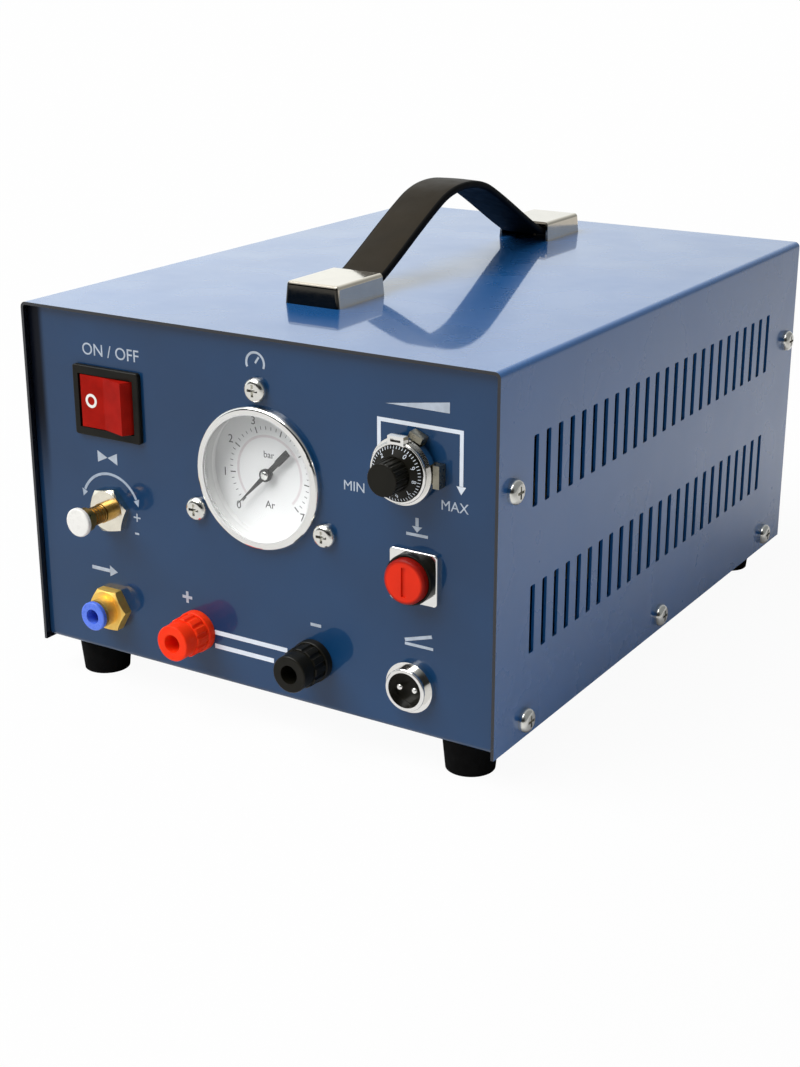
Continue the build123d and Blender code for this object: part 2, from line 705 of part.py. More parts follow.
rocker_slope = tan(radians(ROCKER_TILT))
rocker_face = PIVOT_DEPTH + ROCKER_FACE
rocker_root = sqrt(ROCKER_R**2 * (1 + rocker_slope**2) - rocker_face**2)
rocker_end = (rocker_root - rocker_face * rocker_slope) / (1 + rocker_slope**2)
rocker_tip = rocker_face + rocker_end * rocker_slope
hip_x = ROCKER_R * cos(radians(ROCKER_HIP))
hip_y = ROCKER_R * sin(radians(ROCKER_HIP))
rocker_off = Plane(
    origin=pivot, x_dir=(cos(radians(ROCKER_TILT)), -sin(radians(ROCKER_TILT)), 0), z_dir=(0, 0, 1)
)
with BuildPart() as switch_rocker:
    with BuildSketch(rocker_off):
        with BuildLine():
            Polyline((-rocker_end, -rocker_tip), (0, -rocker_face), (rocker_end, -rocker_tip))
            ThreePointArc((rocker_end, -rocker_tip), (ROCKER_R, 0), (hip_x, hip_y))
            Polyline(
                (hip_x, hip_y),
                (ROCKER_KEEL_W / 2, ROCKER_KEEL),
                (-ROCKER_KEEL_W / 2, ROCKER_KEEL),
                (-hip_x, hip_y),
            )
            ThreePointArc((-hip_x, hip_y), (-ROCKER_R, 0), (-rocker_end, -rocker_tip))
        make_face()
    extrude(amount=ROCKER_TALL / 2, both=True)
    with Locations(pivot_plane):
        Cylinder(PIVOT_D / 2, ROCKER_TALL + 2 * PIVOT_L)
save(switch_rocker, "switch_rocker")

with BuildPart() as switch_terminals:
    with BuildSketch(switch_at.offset(-SWITCH_DEEP - TERMINAL_L)):
        with GridLocations(TERMINAL_GAP_X, TERMINAL_GAP_Z, 2, 2):
            Rectangle(TERMINAL_T, TERMINAL_W)
    extrude(amount=TERMINAL_L)
save(switch_terminals, "switch_terminals")

# Pressure gauge: flanged case behind the panel, screwed ring in front, with lens, dial, pointer and movement
flange_top = -SHEET
with BuildPart() as gauge_case:
    disc(gauge_at, -GAUGE_DEEP, 0, GAUGE_CASE_D)
    disc(gauge_at, flange_top - GAUGE_FLANGE_T, flange_top, GAUGE_FLANGE_D)
    disc(gauge_at, -DIAL_PLATE_DEPTH - DIAL_PLATE_T, 0, GAUGE_BORE, Mode.SUBTRACT)
    disc(gauge_at, -MOVEMENT_DEPTH - MOVEMENT_T, 0, GAUGE_STEP_BORE, Mode.SUBTRACT)
    disc(gauge_at, -GAUGE_DEEP + GAUGE_BACK, 0, GAUGE_TUBE_BORE, Mode.SUBTRACT)
    disc(gauge_at, -GAUGE_DEEP, 0, STEM_D + 2 * FIT, Mode.SUBTRACT)
    for plane in gauge_screw_planes:
        disc(plane, -GAUGE_DEEP, 0, M5 + 2 * SCREW_FIT, Mode.SUBTRACT)
save(gauge_case, "gauge_case")

ring_skirt_d = GAUGE_BORE - 2 * RUN_FIT
lens_seat_d = GAUGE_SIGHT_D + 2 * GAUGE_RING_LIP / 2
with BuildPart() as gauge_ring:
    disc(gauge_at, 0, GAUGE_RING_OUT, GAUGE_RING_D)
    fillet(gauge_ring.edges().group_by(Axis.Y)[0], GAUGE_RING_OUT / 2)
    disc(gauge_at, -GAUGE_SKIRT, 0, ring_skirt_d)
    disc(gauge_at, -GAUGE_SKIRT, GAUGE_RING_OUT - GAUGE_RING_LIP, lens_seat_d, Mode.SUBTRACT)
    disc(gauge_at, -GAUGE_SKIRT, GAUGE_RING_OUT, GAUGE_SIGHT_D, Mode.SUBTRACT)
save(gauge_ring, "gauge_ring")

lens_front = GAUGE_RING_OUT - GAUGE_RING_LIP
with BuildPart() as gauge_lens:
    disc(gauge_at, lens_front - LENS_T, lens_front, lens_seat_d - 2 * RUN_FIT)
save(gauge_lens, "gauge_lens")

with BuildPart() as gauge_dial:
    disc(gauge_at, -DIAL_PLATE_DEPTH - DIAL_PLATE_T, -DIAL_PLATE_DEPTH, GAUGE_BORE - 2 * RUN_FIT)
    disc(gauge_at, -DIAL_PLATE_DEPTH - DIAL_PLATE_T, -DIAL_PLATE_DEPTH, SPINDLE_D + 4 * FIT, Mode.SUBTRACT)
save(gauge_dial, "gauge_dial")

pointer_low = -DIAL_PLATE_DEPTH + POINTER_LIFT
pointer_dir = (cos(radians(POINTER_ZERO)), 0, sin(radians(POINTER_ZERO)))
pointer_at = Plane(origin=gauge_at.origin, x_dir=pointer_dir, z_dir=gauge_at.z_dir)
with BuildPart() as gauge_pointer:
    with BuildSketch(pointer_at.offset(pointer_low)):
        with BuildLine():
            Polyline(
                (POINTER_L, 0),
                (0, POINTER_W / 2),
                (-POINTER_NECK, POINTER_W / 2),
                (-POINTER_NECK, POINTER_TAIL_W / 2),
                (-POINTER_TAIL, POINTER_TAIL_W / 2),
                (-POINTER_TAIL, -POINTER_TAIL_W / 2),
                (-POINTER_NECK, -POINTER_TAIL_W / 2),
                (-POINTER_NECK, -POINTER_W / 2),
                (0, -POINTER_W / 2),
                close=True,
            )
        make_face()
    extrude(amount=POINTER_T)
    disc(gauge_at, pointer_low, pointer_low + 2 * POINTER_T, POINTER_HUB_D)
    disc(gauge_at, -MOVEMENT_DEPTH - MOVEMENT_T, pointer_low, SPINDLE_D)
save(gauge_pointer, "gauge_pointer")

with BuildPart() as gauge_movement:
    disc(gauge_at, -MOVEMENT_DEPTH - MOVEMENT_T, -MOVEMENT_DEPTH, GAUGE_STEP_BORE - 2 * FIT)
    disc(gauge_at, -MOVEMENT_DEPTH, -DIAL_PLATE_DEPTH - DIAL_PLATE_T, BUSH_D)
    disc(gauge_at, -MOVEMENT_DEPTH - MOVEMENT_T, 0, SPINDLE_D + 2 * RUN_FIT, Mode.SUBTRACT)
    tube_at = Plane(origin=gauge_at.from_local_coords((0, 0, -TUBE_DEPTH)), x_dir=(0, 0, -1), z_dir=(1, 0, 0))
    with BuildSketch(tube_at):
        with Locations((TUBE_R, 0)):
            Circle(TUBE_D / 2)
    revolve(axis=Axis(tube_at.origin, gauge_at.z_dir), revolution_arc=TUBE_SWEEP)
save(gauge_movement, "gauge_movement")

# Gauge stem: passes through the case's back, carries the bent tube inside and ends in a tee for the hoses
stem_back = -GAUGE_DEEP - STEM_HEX_L
tee_at = moved(gauge_at, 0, 0).offset(stem_back - TEE / 2)
with BuildPart() as gauge_stem:
    disc(gauge_at, -GAUGE_DEEP, -GAUGE_DEEP + GAUGE_BACK, STEM_D)
    arm_at = moved(gauge_at, -STEM_ARM_W / 2, (STEM_ARM_UP - STEM_ARM_L) / 2)
    inner_back = -GAUGE_DEEP + GAUGE_BACK
    block(arm_at, inner_back, inner_back + STEM_ARM_T, STEM_ARM_W, STEM_ARM_L + STEM_ARM_UP)
    hexagon(gauge_at, stem_back, -GAUGE_DEEP, STEM_HEX)
    block(gauge_at, stem_back - TEE, stem_back, TEE, TEE)
    disc(gauge_at, stem_back - TEE - BARB_L, stem_back - TEE, BARB_D)
    disc(Plane(tee_at.origin, x_dir=(0, 1, 0), z_dir=(-1, 0, 0)), TEE / 2, TEE / 2 + BARB_L, BARB_D)
save(gauge_stem, "gauge_stem")

gauge_screw_l = SHEET + GAUGE_FLANGE_T + NUT_H + NUT_ROOM
gauge_screw = pan_head_screw(M5, gauge_screw_l, M5_HEAD_D, M5_HEAD_H)
with BuildPart() as gauge_screws:
    for plane in gauge_screw_planes:
        with Locations(plane):
            add(gauge_screw)
save(gauge_screws, "gauge_screws")

# Current dial: potentiometer behind the panel, plated ring, lock lever, and a graduated knob on the shaft
pot_back = -SHEET - POT_L
dial_seat = DIAL_HUB_H + DIAL_FLOOR
with BuildPart() as pot_body:
    disc(dial_at, pot_back, -SHEET, POT_D)
    disc(dial_at, -SHEET, POT_BUSH_OUT, POT_BUSH_D)
    disc(dial_at, pot_back + POT_END, POT_BUSH_OUT, SHAFT_D + 2 * RUN_FIT, Mode.SUBTRACT)
save(pot_body, "pot_body")

with BuildPart() as dial_base:
    disc(dial_at, DIAL_HUB_H, DIAL_RING_STEP, DIAL_RING_D)
    disc(dial_at, DIAL_RING_STEP, DIAL_RING_H, DIAL_RING_TOP_D)
    fillet(dial_base.edges().group_by(Axis.Y)[0], (DIAL_RING_TOP_D - DIAL_RING_BORE) / 3)
    disc(dial_at, 0, DIAL_HUB_H, DIAL_HUB_D)
    window_at = moved(dial_at, 0, DIAL_WINDOW_REACH / 2)
    block(window_at, DIAL_RING_STEP + FIT, DIAL_WINDOW_H, DIAL_WINDOW_W, DIAL_WINDOW_REACH)
    disc(dial_at, dial_seat, DIAL_WINDOW_H, DIAL_RING_BORE, Mode.SUBTRACT)
    disc(dial_at, 0, dial_seat, POT_BUSH_D + 2 * FIT, Mode.SUBTRACT)
    sight_at = moved(dial_at, 0, (DIAL_RING_BORE / 2 + DIAL_WINDOW_REACH) / 2)
    block(sight_at, DIAL_RING_H, DIAL_WINDOW_H, DIAL_SIGHT_W, DIAL_SIGHT_H, Mode.SUBTRACT)
save(dial_base, "dial_base")

lock_low = (DIAL_HUB_H - LOCK_T) / 2
with BuildPart() as dial_lock:
    disc(dial_at, lock_low, lock_low + LOCK_T, LOCK_D)
    for angle, width, reach in LOCK_TABS:
        tab_dir = (cos(radians(angle)), 0, sin(radians(angle)))
        tab_at = Plane(origin=dial_at.origin, x_dir=tab_dir, z_dir=dial_at.z_dir)
        block(moved(tab_at, reach / 2, 0), lock_low, lock_low + LOCK_T, reach, width)
        lug = reach - DIAL_RING_D / 2 - 2 * FIT
        block(moved(tab_at, reach - lug / 2, 0), lock_low, DIAL_RING_STEP, lug, width)
    disc(dial_at, lock_low, lock_low + LOCK_T, DIAL_HUB_D + 2 * RUN_FIT, Mode.SUBTRACT)
save(dial_lock, "dial_lock")

shaft_end = KNOB_OUT - KNOB_END_WALL
with BuildPart() as current_shaft:
    disc(dial_at, pot_back + POT_END + FIT, shaft_end, SHAFT_D)
save(current_shaft, "current_shaft")

with BuildPart() as current_knob:
    disc(dial_at, KNOB_CONE_H, KNOB_OUT, KNOB_D)
    fillet(current_knob.edges().group_by(Axis.Y)[0], KNOB_FLUTE_D / 2)
    for flute in range(KNOB_FLUTES):
        angle = radians(flute * 360 / KNOB_FLUTES)
        flute_r = KNOB_D / 2 + KNOB_FLUTE_D / 4
        flute_at = moved(dial_at, flute_r * cos(angle), flute_r * sin(angle))
        disc(flute_at, KNOB_CONE_H, KNOB_OUT, KNOB_FLUTE_D, Mode.SUBTRACT)
    disc(dial_at, KNOB_SKIRT_LOW, KNOB_SKIRT_TOP, KNOB_SKIRT_D)
    cone(dial_at, KNOB_SKIRT_TOP, KNOB_CONE_H, KNOB_SKIRT_D, KNOB_CONE_D)
    disc(dial_at, KNOB_SKIRT_LOW, shaft_end, SHAFT_D, Mode.SUBTRACT)
save(current_knob, "current_knob")

# Push button: square plated bezel, black body with a collar, and a red cap on a sliding stem
with BuildPart() as button_bezel:
    rounded_block(button_at, 0, BUTTON_BEZEL_T, BUTTON_BEZEL, BUTTON_BEZEL, BUTTON_BEZEL_R)
    fillet(button_bezel.edges().group_by(Axis.Y)[0], BUTTON_BEZEL_EDGE)
    disc(button_at, 0, BUTTON_BEZEL_T, BUTTON_BODY_D + 2 * FIT, Mode.SUBTRACT)
save(button_bezel, "button_bezel")

with BuildPart() as button_body:
    disc(button_at, BUTTON_BEZEL_T, COLLAR_TOP, COLLAR_D)
    fillet(button_body.edges().group_by(Axis.Y)[0], COLLAR_EDGE)
    disc(button_at, -BUTTON_BODY_L, BUTTON_BEZEL_T, BUTTON_BODY_D)
    disc(button_at, BUTTON_WELL, COLLAR_TOP, BUTTON_D + 2 * FIT, Mode.SUBTRACT)
    disc(button_at, BUTTON_BODY_END - BUTTON_BODY_L, COLLAR_TOP, BUTTON_STEM_D + 2 * RUN_FIT, Mode.SUBTRACT)
save(button_body, "button_body")

with BuildPart() as button_cap:
    disc(button_at, BUTTON_LOW, BUTTON_OUT, BUTTON_D)
    fillet(button_cap.edges().group_by(Axis.Y)[0], BUTTON_EDGE)
    groove_low = BUTTON_OUT - BUTTON_GROOVE_DEEP
    block(button_at, groove_low, BUTTON_OUT, BUTTON_GROOVE_W, BUTTON_GROOVE_L, Mode.SUBTRACT)
    disc(button_at, -BUTTON_STEM_IN, BUTTON_LOW, BUTTON_STEM_D)
save(button_cap, "button_cap")

# Foot-switch socket: plated shell, black insert and two pins
with BuildPart() as socket_shell:
    disc(socket_at, 0, SOCKET_FLANGE_T, SOCKET_FLANGE_D)
    disc(socket_at, SOCKET_FLANGE_T, SOCKET_OUT, SOCKET_D)
    fillet(socket_shell.edges().group_by(Axis.Y)[0], (SOCKET_D - SOCKET_BORE) / 5)
    disc(socket_at, -SOCKET_BACK, 0, SOCKET_D)
    disc(socket_at, -SOCKET_SEAT, SOCKET_OUT, SOCKET_BORE, Mode.SUBTRACT)
    disc(socket_at, -SOCKET_BACK, SOCKET_OUT, SOCKET_SEAT_BORE, Mode.SUBTRACT)
save(socket_shell, "socket_shell")

pin_planes = [moved(socket_at, side * PIN_GAP / 2, 0) for side in (-1, 1)]
with BuildPart() as socket_insert:
    disc(socket_at, -SOCKET_SEAT, SOCKET_FACE, SOCKET_BORE - 2 * RUN_FIT)
    for plane in pin_planes:
        disc(plane, -SOCKET_SEAT, SOCKET_FACE, PIN_D, Mode.SUBTRACT)
save(socket_insert, "socket_insert")

with BuildPart() as socket_pins:
    for plane in pin_planes:
        disc(plane, -PIN_BACK, PIN_OUT, PIN_D)
    fillet(socket_pins.edges().group_by(Axis.Y)[0], PIN_D / 3)
save(socket_pins, "socket_pins")

# Argon valve: body behind the panel, nut in front, spindle with a white cap
valve_back = -SHEET - VALVE_BODY_L
valve_side = Plane(
    origin=valve_at.from_local_coords((0, 0, -SHEET - VALVE_BODY_L / 2)), x_dir=(0, 1, 0), z_dir=(1, 0, 0)
)
with BuildPart() as valve_body:
    disc(valve_at, valve_back, -SHEET, VALVE_BODY_D)
    disc(valve_at, -SHEET, VALVE_BUSH_OUT, VALVE_BUSH_D)
    disc(valve_at, valve_back - BARB_L, valve_back, BARB_D)
    disc(valve_side, 0, VALVE_BODY_D / 2 + BARB_L, BARB_D)
    disc(valve_at, -VALVE_SPINDLE_IN, VALVE_BUSH_OUT, VALVE_SPINDLE_D + 2 * RUN_FIT, Mode.SUBTRACT)
save(valve_body, "valve_body")

with BuildPart() as valve_nut:
    turned_hexagon(valve_at, 0, VALVE_HEX_H, VALVE_HEX, VALVE_HEX_TURN)
    disc(valve_at, 0, VALVE_HEX_H, VALVE_BUSH_D, Mode.SUBTRACT)
save(valve_nut, "valve_nut")

spindle_end = (VALVE_CAP_LOW + VALVE_CAP_OUT) / 2
thread_rings = int((VALVE_COLLAR_LOW - VALVE_ROD_LOW) / VALVE_THREAD_PITCH)
with BuildPart() as valve_spindle:
    disc(valve_at, FIT - VALVE_SPINDLE_IN, spindle_end, VALVE_SPINDLE_D)
    disc(valve_at, VALVE_ROD_LOW, VALVE_COLLAR_LOW, VALVE_ROD_D)
    disc(valve_at, VALVE_COLLAR_LOW, VALVE_CAP_LOW, VALVE_COLLAR_D)
    for ring in range(thread_rings):
        ring_low = VALVE_ROD_LOW + ring * VALVE_THREAD_PITCH
        disc(valve_at, ring_low, ring_low + VALVE_THREAD_PITCH / 2, VALVE_THREAD_D)
save(valve_spindle, "valve_spindle")

with BuildPart() as valve_cap:
    disc(valve_at, VALVE_CAP_LOW, VALVE_CAP_OUT, VALVE_CAP_D)
    fillet(valve_cap.edges().group_by(Axis.Y)[0], VALVE_CAP_EDGE)
    disc(valve_at, VALVE_CAP_LOW, spindle_end, VALVE_SPINDLE_D, Mode.SUBTRACT)
save(valve_cap, "valve_cap")

# Argon outlet: push-in fitting whose collet is pressed in to free the tube
outlet_back = -OUTLET_THREAD_L
with BuildPart() as outlet_body:
    turned_hexagon(outlet_at, 0, OUTLET_HEX_H, OUTLET_HEX, OUTLET_HEX_TURN)
    disc(outlet_at, OUTLET_HEX_H, OUTLET_NECK_H, OUTLET_NECK_D)
    disc(outlet_at, outlet_back, 0, OUTLET_THREAD_D)
    disc(outlet_at, outlet_back - BARB_L, outlet_back, BARB_D)
    disc(outlet_at, OUTLET_SEAT, OUTLET_NECK_H, COLLET_SLEEVE_D + 2 * RUN_FIT, Mode.SUBTRACT)
    disc(outlet_at, -OUTLET_STOP, OUTLET_NECK_H, COLLET_BORE, Mode.SUBTRACT)
    disc(outlet_at, outlet_back - BARB_L, OUTLET_NECK_H, GAS_BORE, Mode.SUBTRACT)
save(outlet_body, "outlet_body")

with BuildPart() as outlet_collet:
    disc(outlet_at, COLLET_LOW, COLLET_OUT, COLLET_D)
    fillet(outlet_collet.edges().group_by(Axis.Y)[0], COLLET_EDGE)
    disc(outlet_at, COLLET_SLEEVE_LOW, COLLET_LOW, COLLET_SLEEVE_D)
    disc(outlet_at, COLLET_SLEEVE_LOW, COLLET_OUT, COLLET_BORE, Mode.SUBTRACT)
save(outlet_collet, "outlet_collet")

# Output posts: insulated base with a rear washer, and a fluted knob with a mouth for the plug
washer_back = -SHEET - POST_WASHER_T
mouth_low = STUD_OUT + FIT
for post_at, colour in ((red_at, "red"), (black_at, "black")):
    with BuildPart() as post_base:
        disc(post_at, 0, POST_BASE_H, POST_BASE_D)
        fillet(post_base.edges().group_by(Axis.Y)[0], POST_EDGE)
        disc(post_at, -SHEET, 0, POST_BUSH_D)
        disc(post_at, washer_back, -SHEET, POST_WASHER_D)
        disc(post_at, washer_back, POST_BASE_H, STUD_D, Mode.SUBTRACT)
    save(post_base, f"{colour}_post_base")
    with BuildPart() as post_knob:
        disc(post_at, POST_GRIP_LOW, POST_GRIP_TOP, POST_GRIP_D)
        fillet(post_knob.edges().group_by(Axis.Y)[0], POST_EDGE)
        for flute in range(POST_FLUTES):
            angle = radians((flute + 0.5) * 360 / POST_FLUTES)
            flute_r = POST_GRIP_D / 2 + POST_FLUTE_D / 4
            flute_at = moved(post_at, flute_r * cos(angle), flute_r * sin(angle))
            disc(flute_at, POST_GRIP_LOW, POST_GRIP_TOP, POST_FLUTE_D, Mode.SUBTRACT)
        disc(post_at, POST_GRIP_TOP, POST_OUT, POST_BARREL_D)
        fillet(post_knob.edges().group_by(Axis.Y)[0], POST_EDGE)
        disc(post_at, POST_GRIP_LOW, mouth_low, STUD_D + 2 * RUN_FIT, Mode.SUBTRACT)
        disc(post_at, mouth_low, POST_OUT, POST_MOUTH_D, Mode.SUBTRACT)
    save(post_knob, f"{colour}_post_knob")

with BuildPart() as post_studs:
    for plane in (red_at, black_at):
        disc(plane, -STUD_BACK, STUD_OUT, STUD_D)
        disc(plane, STUD_OUT - JACK_L, STUD_OUT, JACK_D, Mode.SUBTRACT)
save(post_studs, "post_studs")

# Cooling fan inside the rear panel: frame with struts, rotor, and a wire guard outside
fan_back = -SHEET - FAN_T
with BuildPart() as fan_frame:
    block(fan_at, fan_back, -SHEET, FAN, FAN)
    disc(fan_at, fan_back, -SHEET, FAN_BORE, Mode.SUBTRACT)
    disc(fan_at, fan_back, fan_back + FAN_SEAT_T, FAN_SEAT_D)
    block(fan_at, fan_back, fan_back + FAN_SEAT_T, FAN_BORE + FAN_STRUT / 2, FAN_STRUT)
    block(fan_at, fan_back, fan_back + FAN_SEAT_T, FAN_STRUT, FAN_BORE + FAN_STRUT / 2)
    disc(fan_at, fan_back, fan_back + FAN_SEAT_T, FAN_SHAFT_D + 2 * RUN_FIT, Mode.SUBTRACT)
    for plane in fan_screw_planes:
        disc(plane, fan_back, -SHEET, M4 + 2 * SCREW_FIT, Mode.SUBTRACT)
save(fan_frame, "fan_frame")

hub_low = fan_back + FAN_HUB_BACK
with BuildPart() as fan_rotor:
    for blade in range(FAN_BLADES):
        angle = radians(blade * 360 / FAN_BLADES)
        blade_at = fan_at.offset(hub_low + FAN_HUB_L / 2)
        blade_dir = blade_at.x_dir * cos(angle) + blade_at.y_dir * sin(angle)
        blade_side = blade_at.y_dir * cos(angle) - blade_at.x_dir * sin(angle)
        pitch = radians(FAN_BLADE_PITCH)
        blade_face = blade_at.z_dir * cos(pitch) + blade_side * sin(pitch)
        with Locations(Plane(blade_at.origin, x_dir=blade_dir, z_dir=blade_face)):
            Box(FAN_TIP_D, FAN_BLADE_CHORD, FAN_BLADE_T, align=(Align.MIN, Align.CENTER, Align.CENTER))
    disc(fan_at, hub_low, hub_low + FAN_HUB_L, FAN_TIP_D, Mode.INTERSECT)
    disc(fan_at, hub_low, hub_low + FAN_HUB_L, FAN_HUB_D)
    disc(fan_at, fan_back + FIT, hub_low, FAN_SHAFT_D)
save(fan_rotor, "fan_rotor")

spoke_in = GUARD_RING_D / 2
spoke_out = FAN_HOLES / sqrt(2)
with BuildPart() as fan_guard:
    for plane in fan_screw_planes:
        disc(plane, 0, GUARD_WIRE, GUARD_EYE_D)
    for sx, sy in corner_signs:
        spoke_dir = (fan_at.x_dir * sx + fan_at.y_dir * sy).normalized()
        spoke_plane = Plane(fan_at.origin, x_dir=spoke_dir, z_dir=fan_at.z_dir)
        spoke_at = moved(spoke_plane, (spoke_in + spoke_out) / 2, 0)
        block(spoke_at, 0, GUARD_WIRE, spoke_out - spoke_in, GUARD_WIRE)
    for ring in range(GUARD_RINGS):
        with Locations(fan_at.offset(GUARD_WIRE * 1.25)):
            Torus((GUARD_RING_D + ring * GUARD_RING_STEP) / 2, GUARD_WIRE / 2)
    for plane in fan_screw_planes:
        disc(plane, 0, GUARD_WIRE, M4 + 2 * SCREW_FIT, Mode.SUBTRACT)
save(fan_guard, "fan_guard")

# Mains inlet: flanged well with three blades
inlet_floor = INLET_FLANGE_T - INLET_WELL
inlet_blades = [
    moved(inlet_at, -INLET_PIN_GAP, -INLET_PIN_RISE),
    moved(inlet_at, 0, INLET_PIN_RISE),
    moved(inlet_at, INLET_PIN_GAP, -INLET_PIN_RISE),
]
with BuildPart() as power_inlet:
    rounded_block(inlet_at, 0, INLET_FLANGE_T, INLET_FLANGE_W, INLET_FLANGE_H, INLET_FLANGE_R)
    rounded_block(inlet_at, -INLET_DEEP, 0, INLET_W, INLET_TALL, INLET_R)
    well_w = INLET_W - 2 * INLET_WALL
    well_h = INLET_TALL - 2 * INLET_WALL
    rounded_block(inlet_at, inlet_floor, INLET_FLANGE_T, well_w, well_h, INLET_R, Mode.SUBTRACT)
    for plane in inlet_screw_planes:
        disc(plane, 0, INLET_FLANGE_T, M4 + 2 * SCREW_FIT, Mode.SUBTRACT)
    for plane in inlet_blades:
        block(plane, -INLET_DEEP, inlet_floor, INLET_PIN_W, INLET_PIN_H, Mode.SUBTRACT)
save(power_inlet, "power_inlet")

with BuildPart() as inlet_pins:
    for plane in inlet_blades:
        block(plane, -INLET_DEEP - INLET_TAG, INLET_FLANGE_T - INLET_PIN_END, INLET_PIN_W, INLET_PIN_H)
save(inlet_pins, "inlet_pins")

# Gas inlet with a ribbed tail, and the solenoid valve on its inner thread
with BuildPart() as gas_inlet:
    turned_hexagon(gas_in_at, 0, GAS_IN_HEX_H, GAS_IN_HEX)
    disc(gas_in_at, GAS_IN_HEX_H, GAS_IN_OUT, GAS_TAIL_D)
    for rib in range(GAS_TAIL_RIBS):
        rib_top = GAS_IN_OUT - rib * GAS_TAIL_RIB_L
        cone(gas_in_at, rib_top - GAS_TAIL_RIB_L, rib_top, GAS_TAIL_RIB_D, GAS_TAIL_D)
    disc(gas_in_at, -GAS_IN_THREAD_L, 0, GAS_IN_THREAD_D)
    disc(gas_in_at, -GAS_IN_THREAD_L, GAS_IN_OUT, GAS_IN_BORE, Mode.SUBTRACT)
save(gas_inlet, "gas_inlet")

solenoid_back = -SHEET - SOLENOID
with BuildPart() as solenoid_valve:
    block(gas_in_at, solenoid_back, -SHEET, SOLENOID, SOLENOID)
    with Locations(gas_in_at.from_local_coords((0, SOLENOID / 2, (solenoid_back - SHEET) / 2))):
        Box(SOLENOID_COIL_W, SOLENOID_COIL_W, SOLENOID_COIL_H, align=LOW)
    disc(gas_in_at, solenoid_back - BARB_L, solenoid_back, BARB_D)
    disc(gas_in_at, -GAS_IN_THREAD_L, -SHEET, GAS_IN_THREAD_D, Mode.SUBTRACT)
save(solenoid_valve, "solenoid_valve")

# Gas hoses: solenoid to tee, tee to valve, valve to outlet
solenoid_mouth = gas_in_at.from_local_coords((0, 0, solenoid_back))
tee_rear = gauge_at.from_local_coords((0, 0, stem_back - TEE))
tee_side = gauge_at.from_local_coords((-TEE / 2, 0, stem_back - TEE / 2))
valve_side_mouth = valve_side.from_local_coords((0, 0, VALVE_BODY_D / 2))
valve_rear = valve_at.from_local_coords((0, 0, valve_back))
outlet_rear = outlet_at.from_local_coords((0, 0, outlet_back))
lead = BARB_L + HOSE_BEND
side_lead = lead + HOSE_D
hose_paths = [
    [
        solenoid_mouth,
        solenoid_mouth - Vector(0, 2 * lead, 0),
        tee_rear + Vector(0, 2 * lead, 0),
        tee_rear,
    ],
    [
        tee_side,
        tee_side - Vector(side_lead, 0, 0),
        valve_side_mouth + Vector(side_lead, 0, 0),
        valve_side_mouth,
    ],
    [
        valve_rear,
        valve_rear + Vector(0, lead, 0),
        Vector(outlet_rear.X, valve_rear.Y + lead, outlet_rear.Z),
        outlet_rear,
    ],
]
hose_starts = [Vector(0, -1, 0), Vector(-1, 0, 0), Vector(0, 1, 0)]
with BuildPart() as gas_hoses:
    for points, start_dir in zip(hose_paths, hose_starts):
        with BuildLine() as hose_line:
            FilletPolyline(*points, radius=HOSE_BEND)
        with BuildSketch(Plane(origin=points[0], z_dir=start_dir)):
            Circle(HOSE_D / 2)
            Circle(HOSE_BORE / 2, mode=Mode.SUBTRACT)
        sweep(path=hose_line.wire())
save(gas_hoses, "gas_hoses")

# Transformer: laminated core with two windows, and the winding on its middle leg
core_at = Plane(origin=(CORE_X, CORE_Y, FLOOR_TOP))
window_w = (CORE_W - 4 * CORE_LEG) / 2
window_h = CORE_H - 2 * CORE_LEG
with BuildPart() as transformer_core:
    block(core_at, 0, CORE_H, CORE_W, CORE_T)
    for side in (-1, 1):
        window_at = moved(core_at, side * (CORE_LEG + window_w / 2), 0)
        block(window_at, CORE_LEG, CORE_LEG + window_h, window_w, CORE_T, Mode.SUBTRACT)
    for x, y in core_screw_places:
        block(Plane(origin=(x, y, FLOOR_TOP)), 0, TAB_T, TAB_L, TAB_L)
    for x, y in core_screw_places:
        disc(Plane(origin=(x, y, FLOOR_TOP)), 0, TAB_T, M4, Mode.SUBTRACT)
save(transformer_core, "transformer_core")

coil_in_w = 2 * (CORE_LEG + COIL_FIT)
coil_in_d = CORE_T + 2 * COIL_FIT
coil_wall = window_w - 2 * COIL_FIT
with BuildPart() as transformer_coil:
    coil_top = CORE_LEG + window_h - COIL_FIT
    rounded_block(core_at, CORE_LEG, coil_top, coil_in_w + 2 * coil_wall, coil_in_d + 2 * coil_wall, COIL_R)
    block(core_at, CORE_LEG, coil_top, coil_in_w, coil_in_d, Mode.SUBTRACT)
save(transformer_coil, "transformer_coil")

# Control board on standoffs, with the storage capacitors
board_z = FLOOR_TOP + STANDOFF_H
with BuildPart() as board_standoffs:
    for x, y in standoff_places:
        disc(Plane(origin=(x, y, FLOOR_TOP)), 0, STANDOFF_H, STANDOFF_D)
        disc(Plane(origin=(x, y, FLOOR_TOP)), 0, STANDOFF_H, M4, Mode.SUBTRACT)
save(board_standoffs, "board_standoffs")

with BuildPart() as control_board:
    block(Plane(origin=(BOARD_X, BOARD_Y, board_z)), 0, BOARD_T, BOARD_W, BOARD_D)
    for x, y in standoff_places:
        disc(Plane(origin=(x, y, board_z)), 0, BOARD_T, M4 + 2 * SCREW_FIT, Mode.SUBTRACT)
save(control_board, "control_board")

with BuildPart() as capacitors:
    can_plane = Plane(origin=(BOARD_X, BOARD_Y + CAN_SHIFT, board_z + BOARD_T))
    for sx, sy in corner_signs:
        disc(moved(can_plane, sx * CAN_PITCH / 2, sy * CAN_PITCH / 2), 0, CAN_H, CAN_D)
    fillet(capacitors.edges().group_by(Axis.Z)[-1], CAN_EDGE)
save(capacitors, "capacitors")

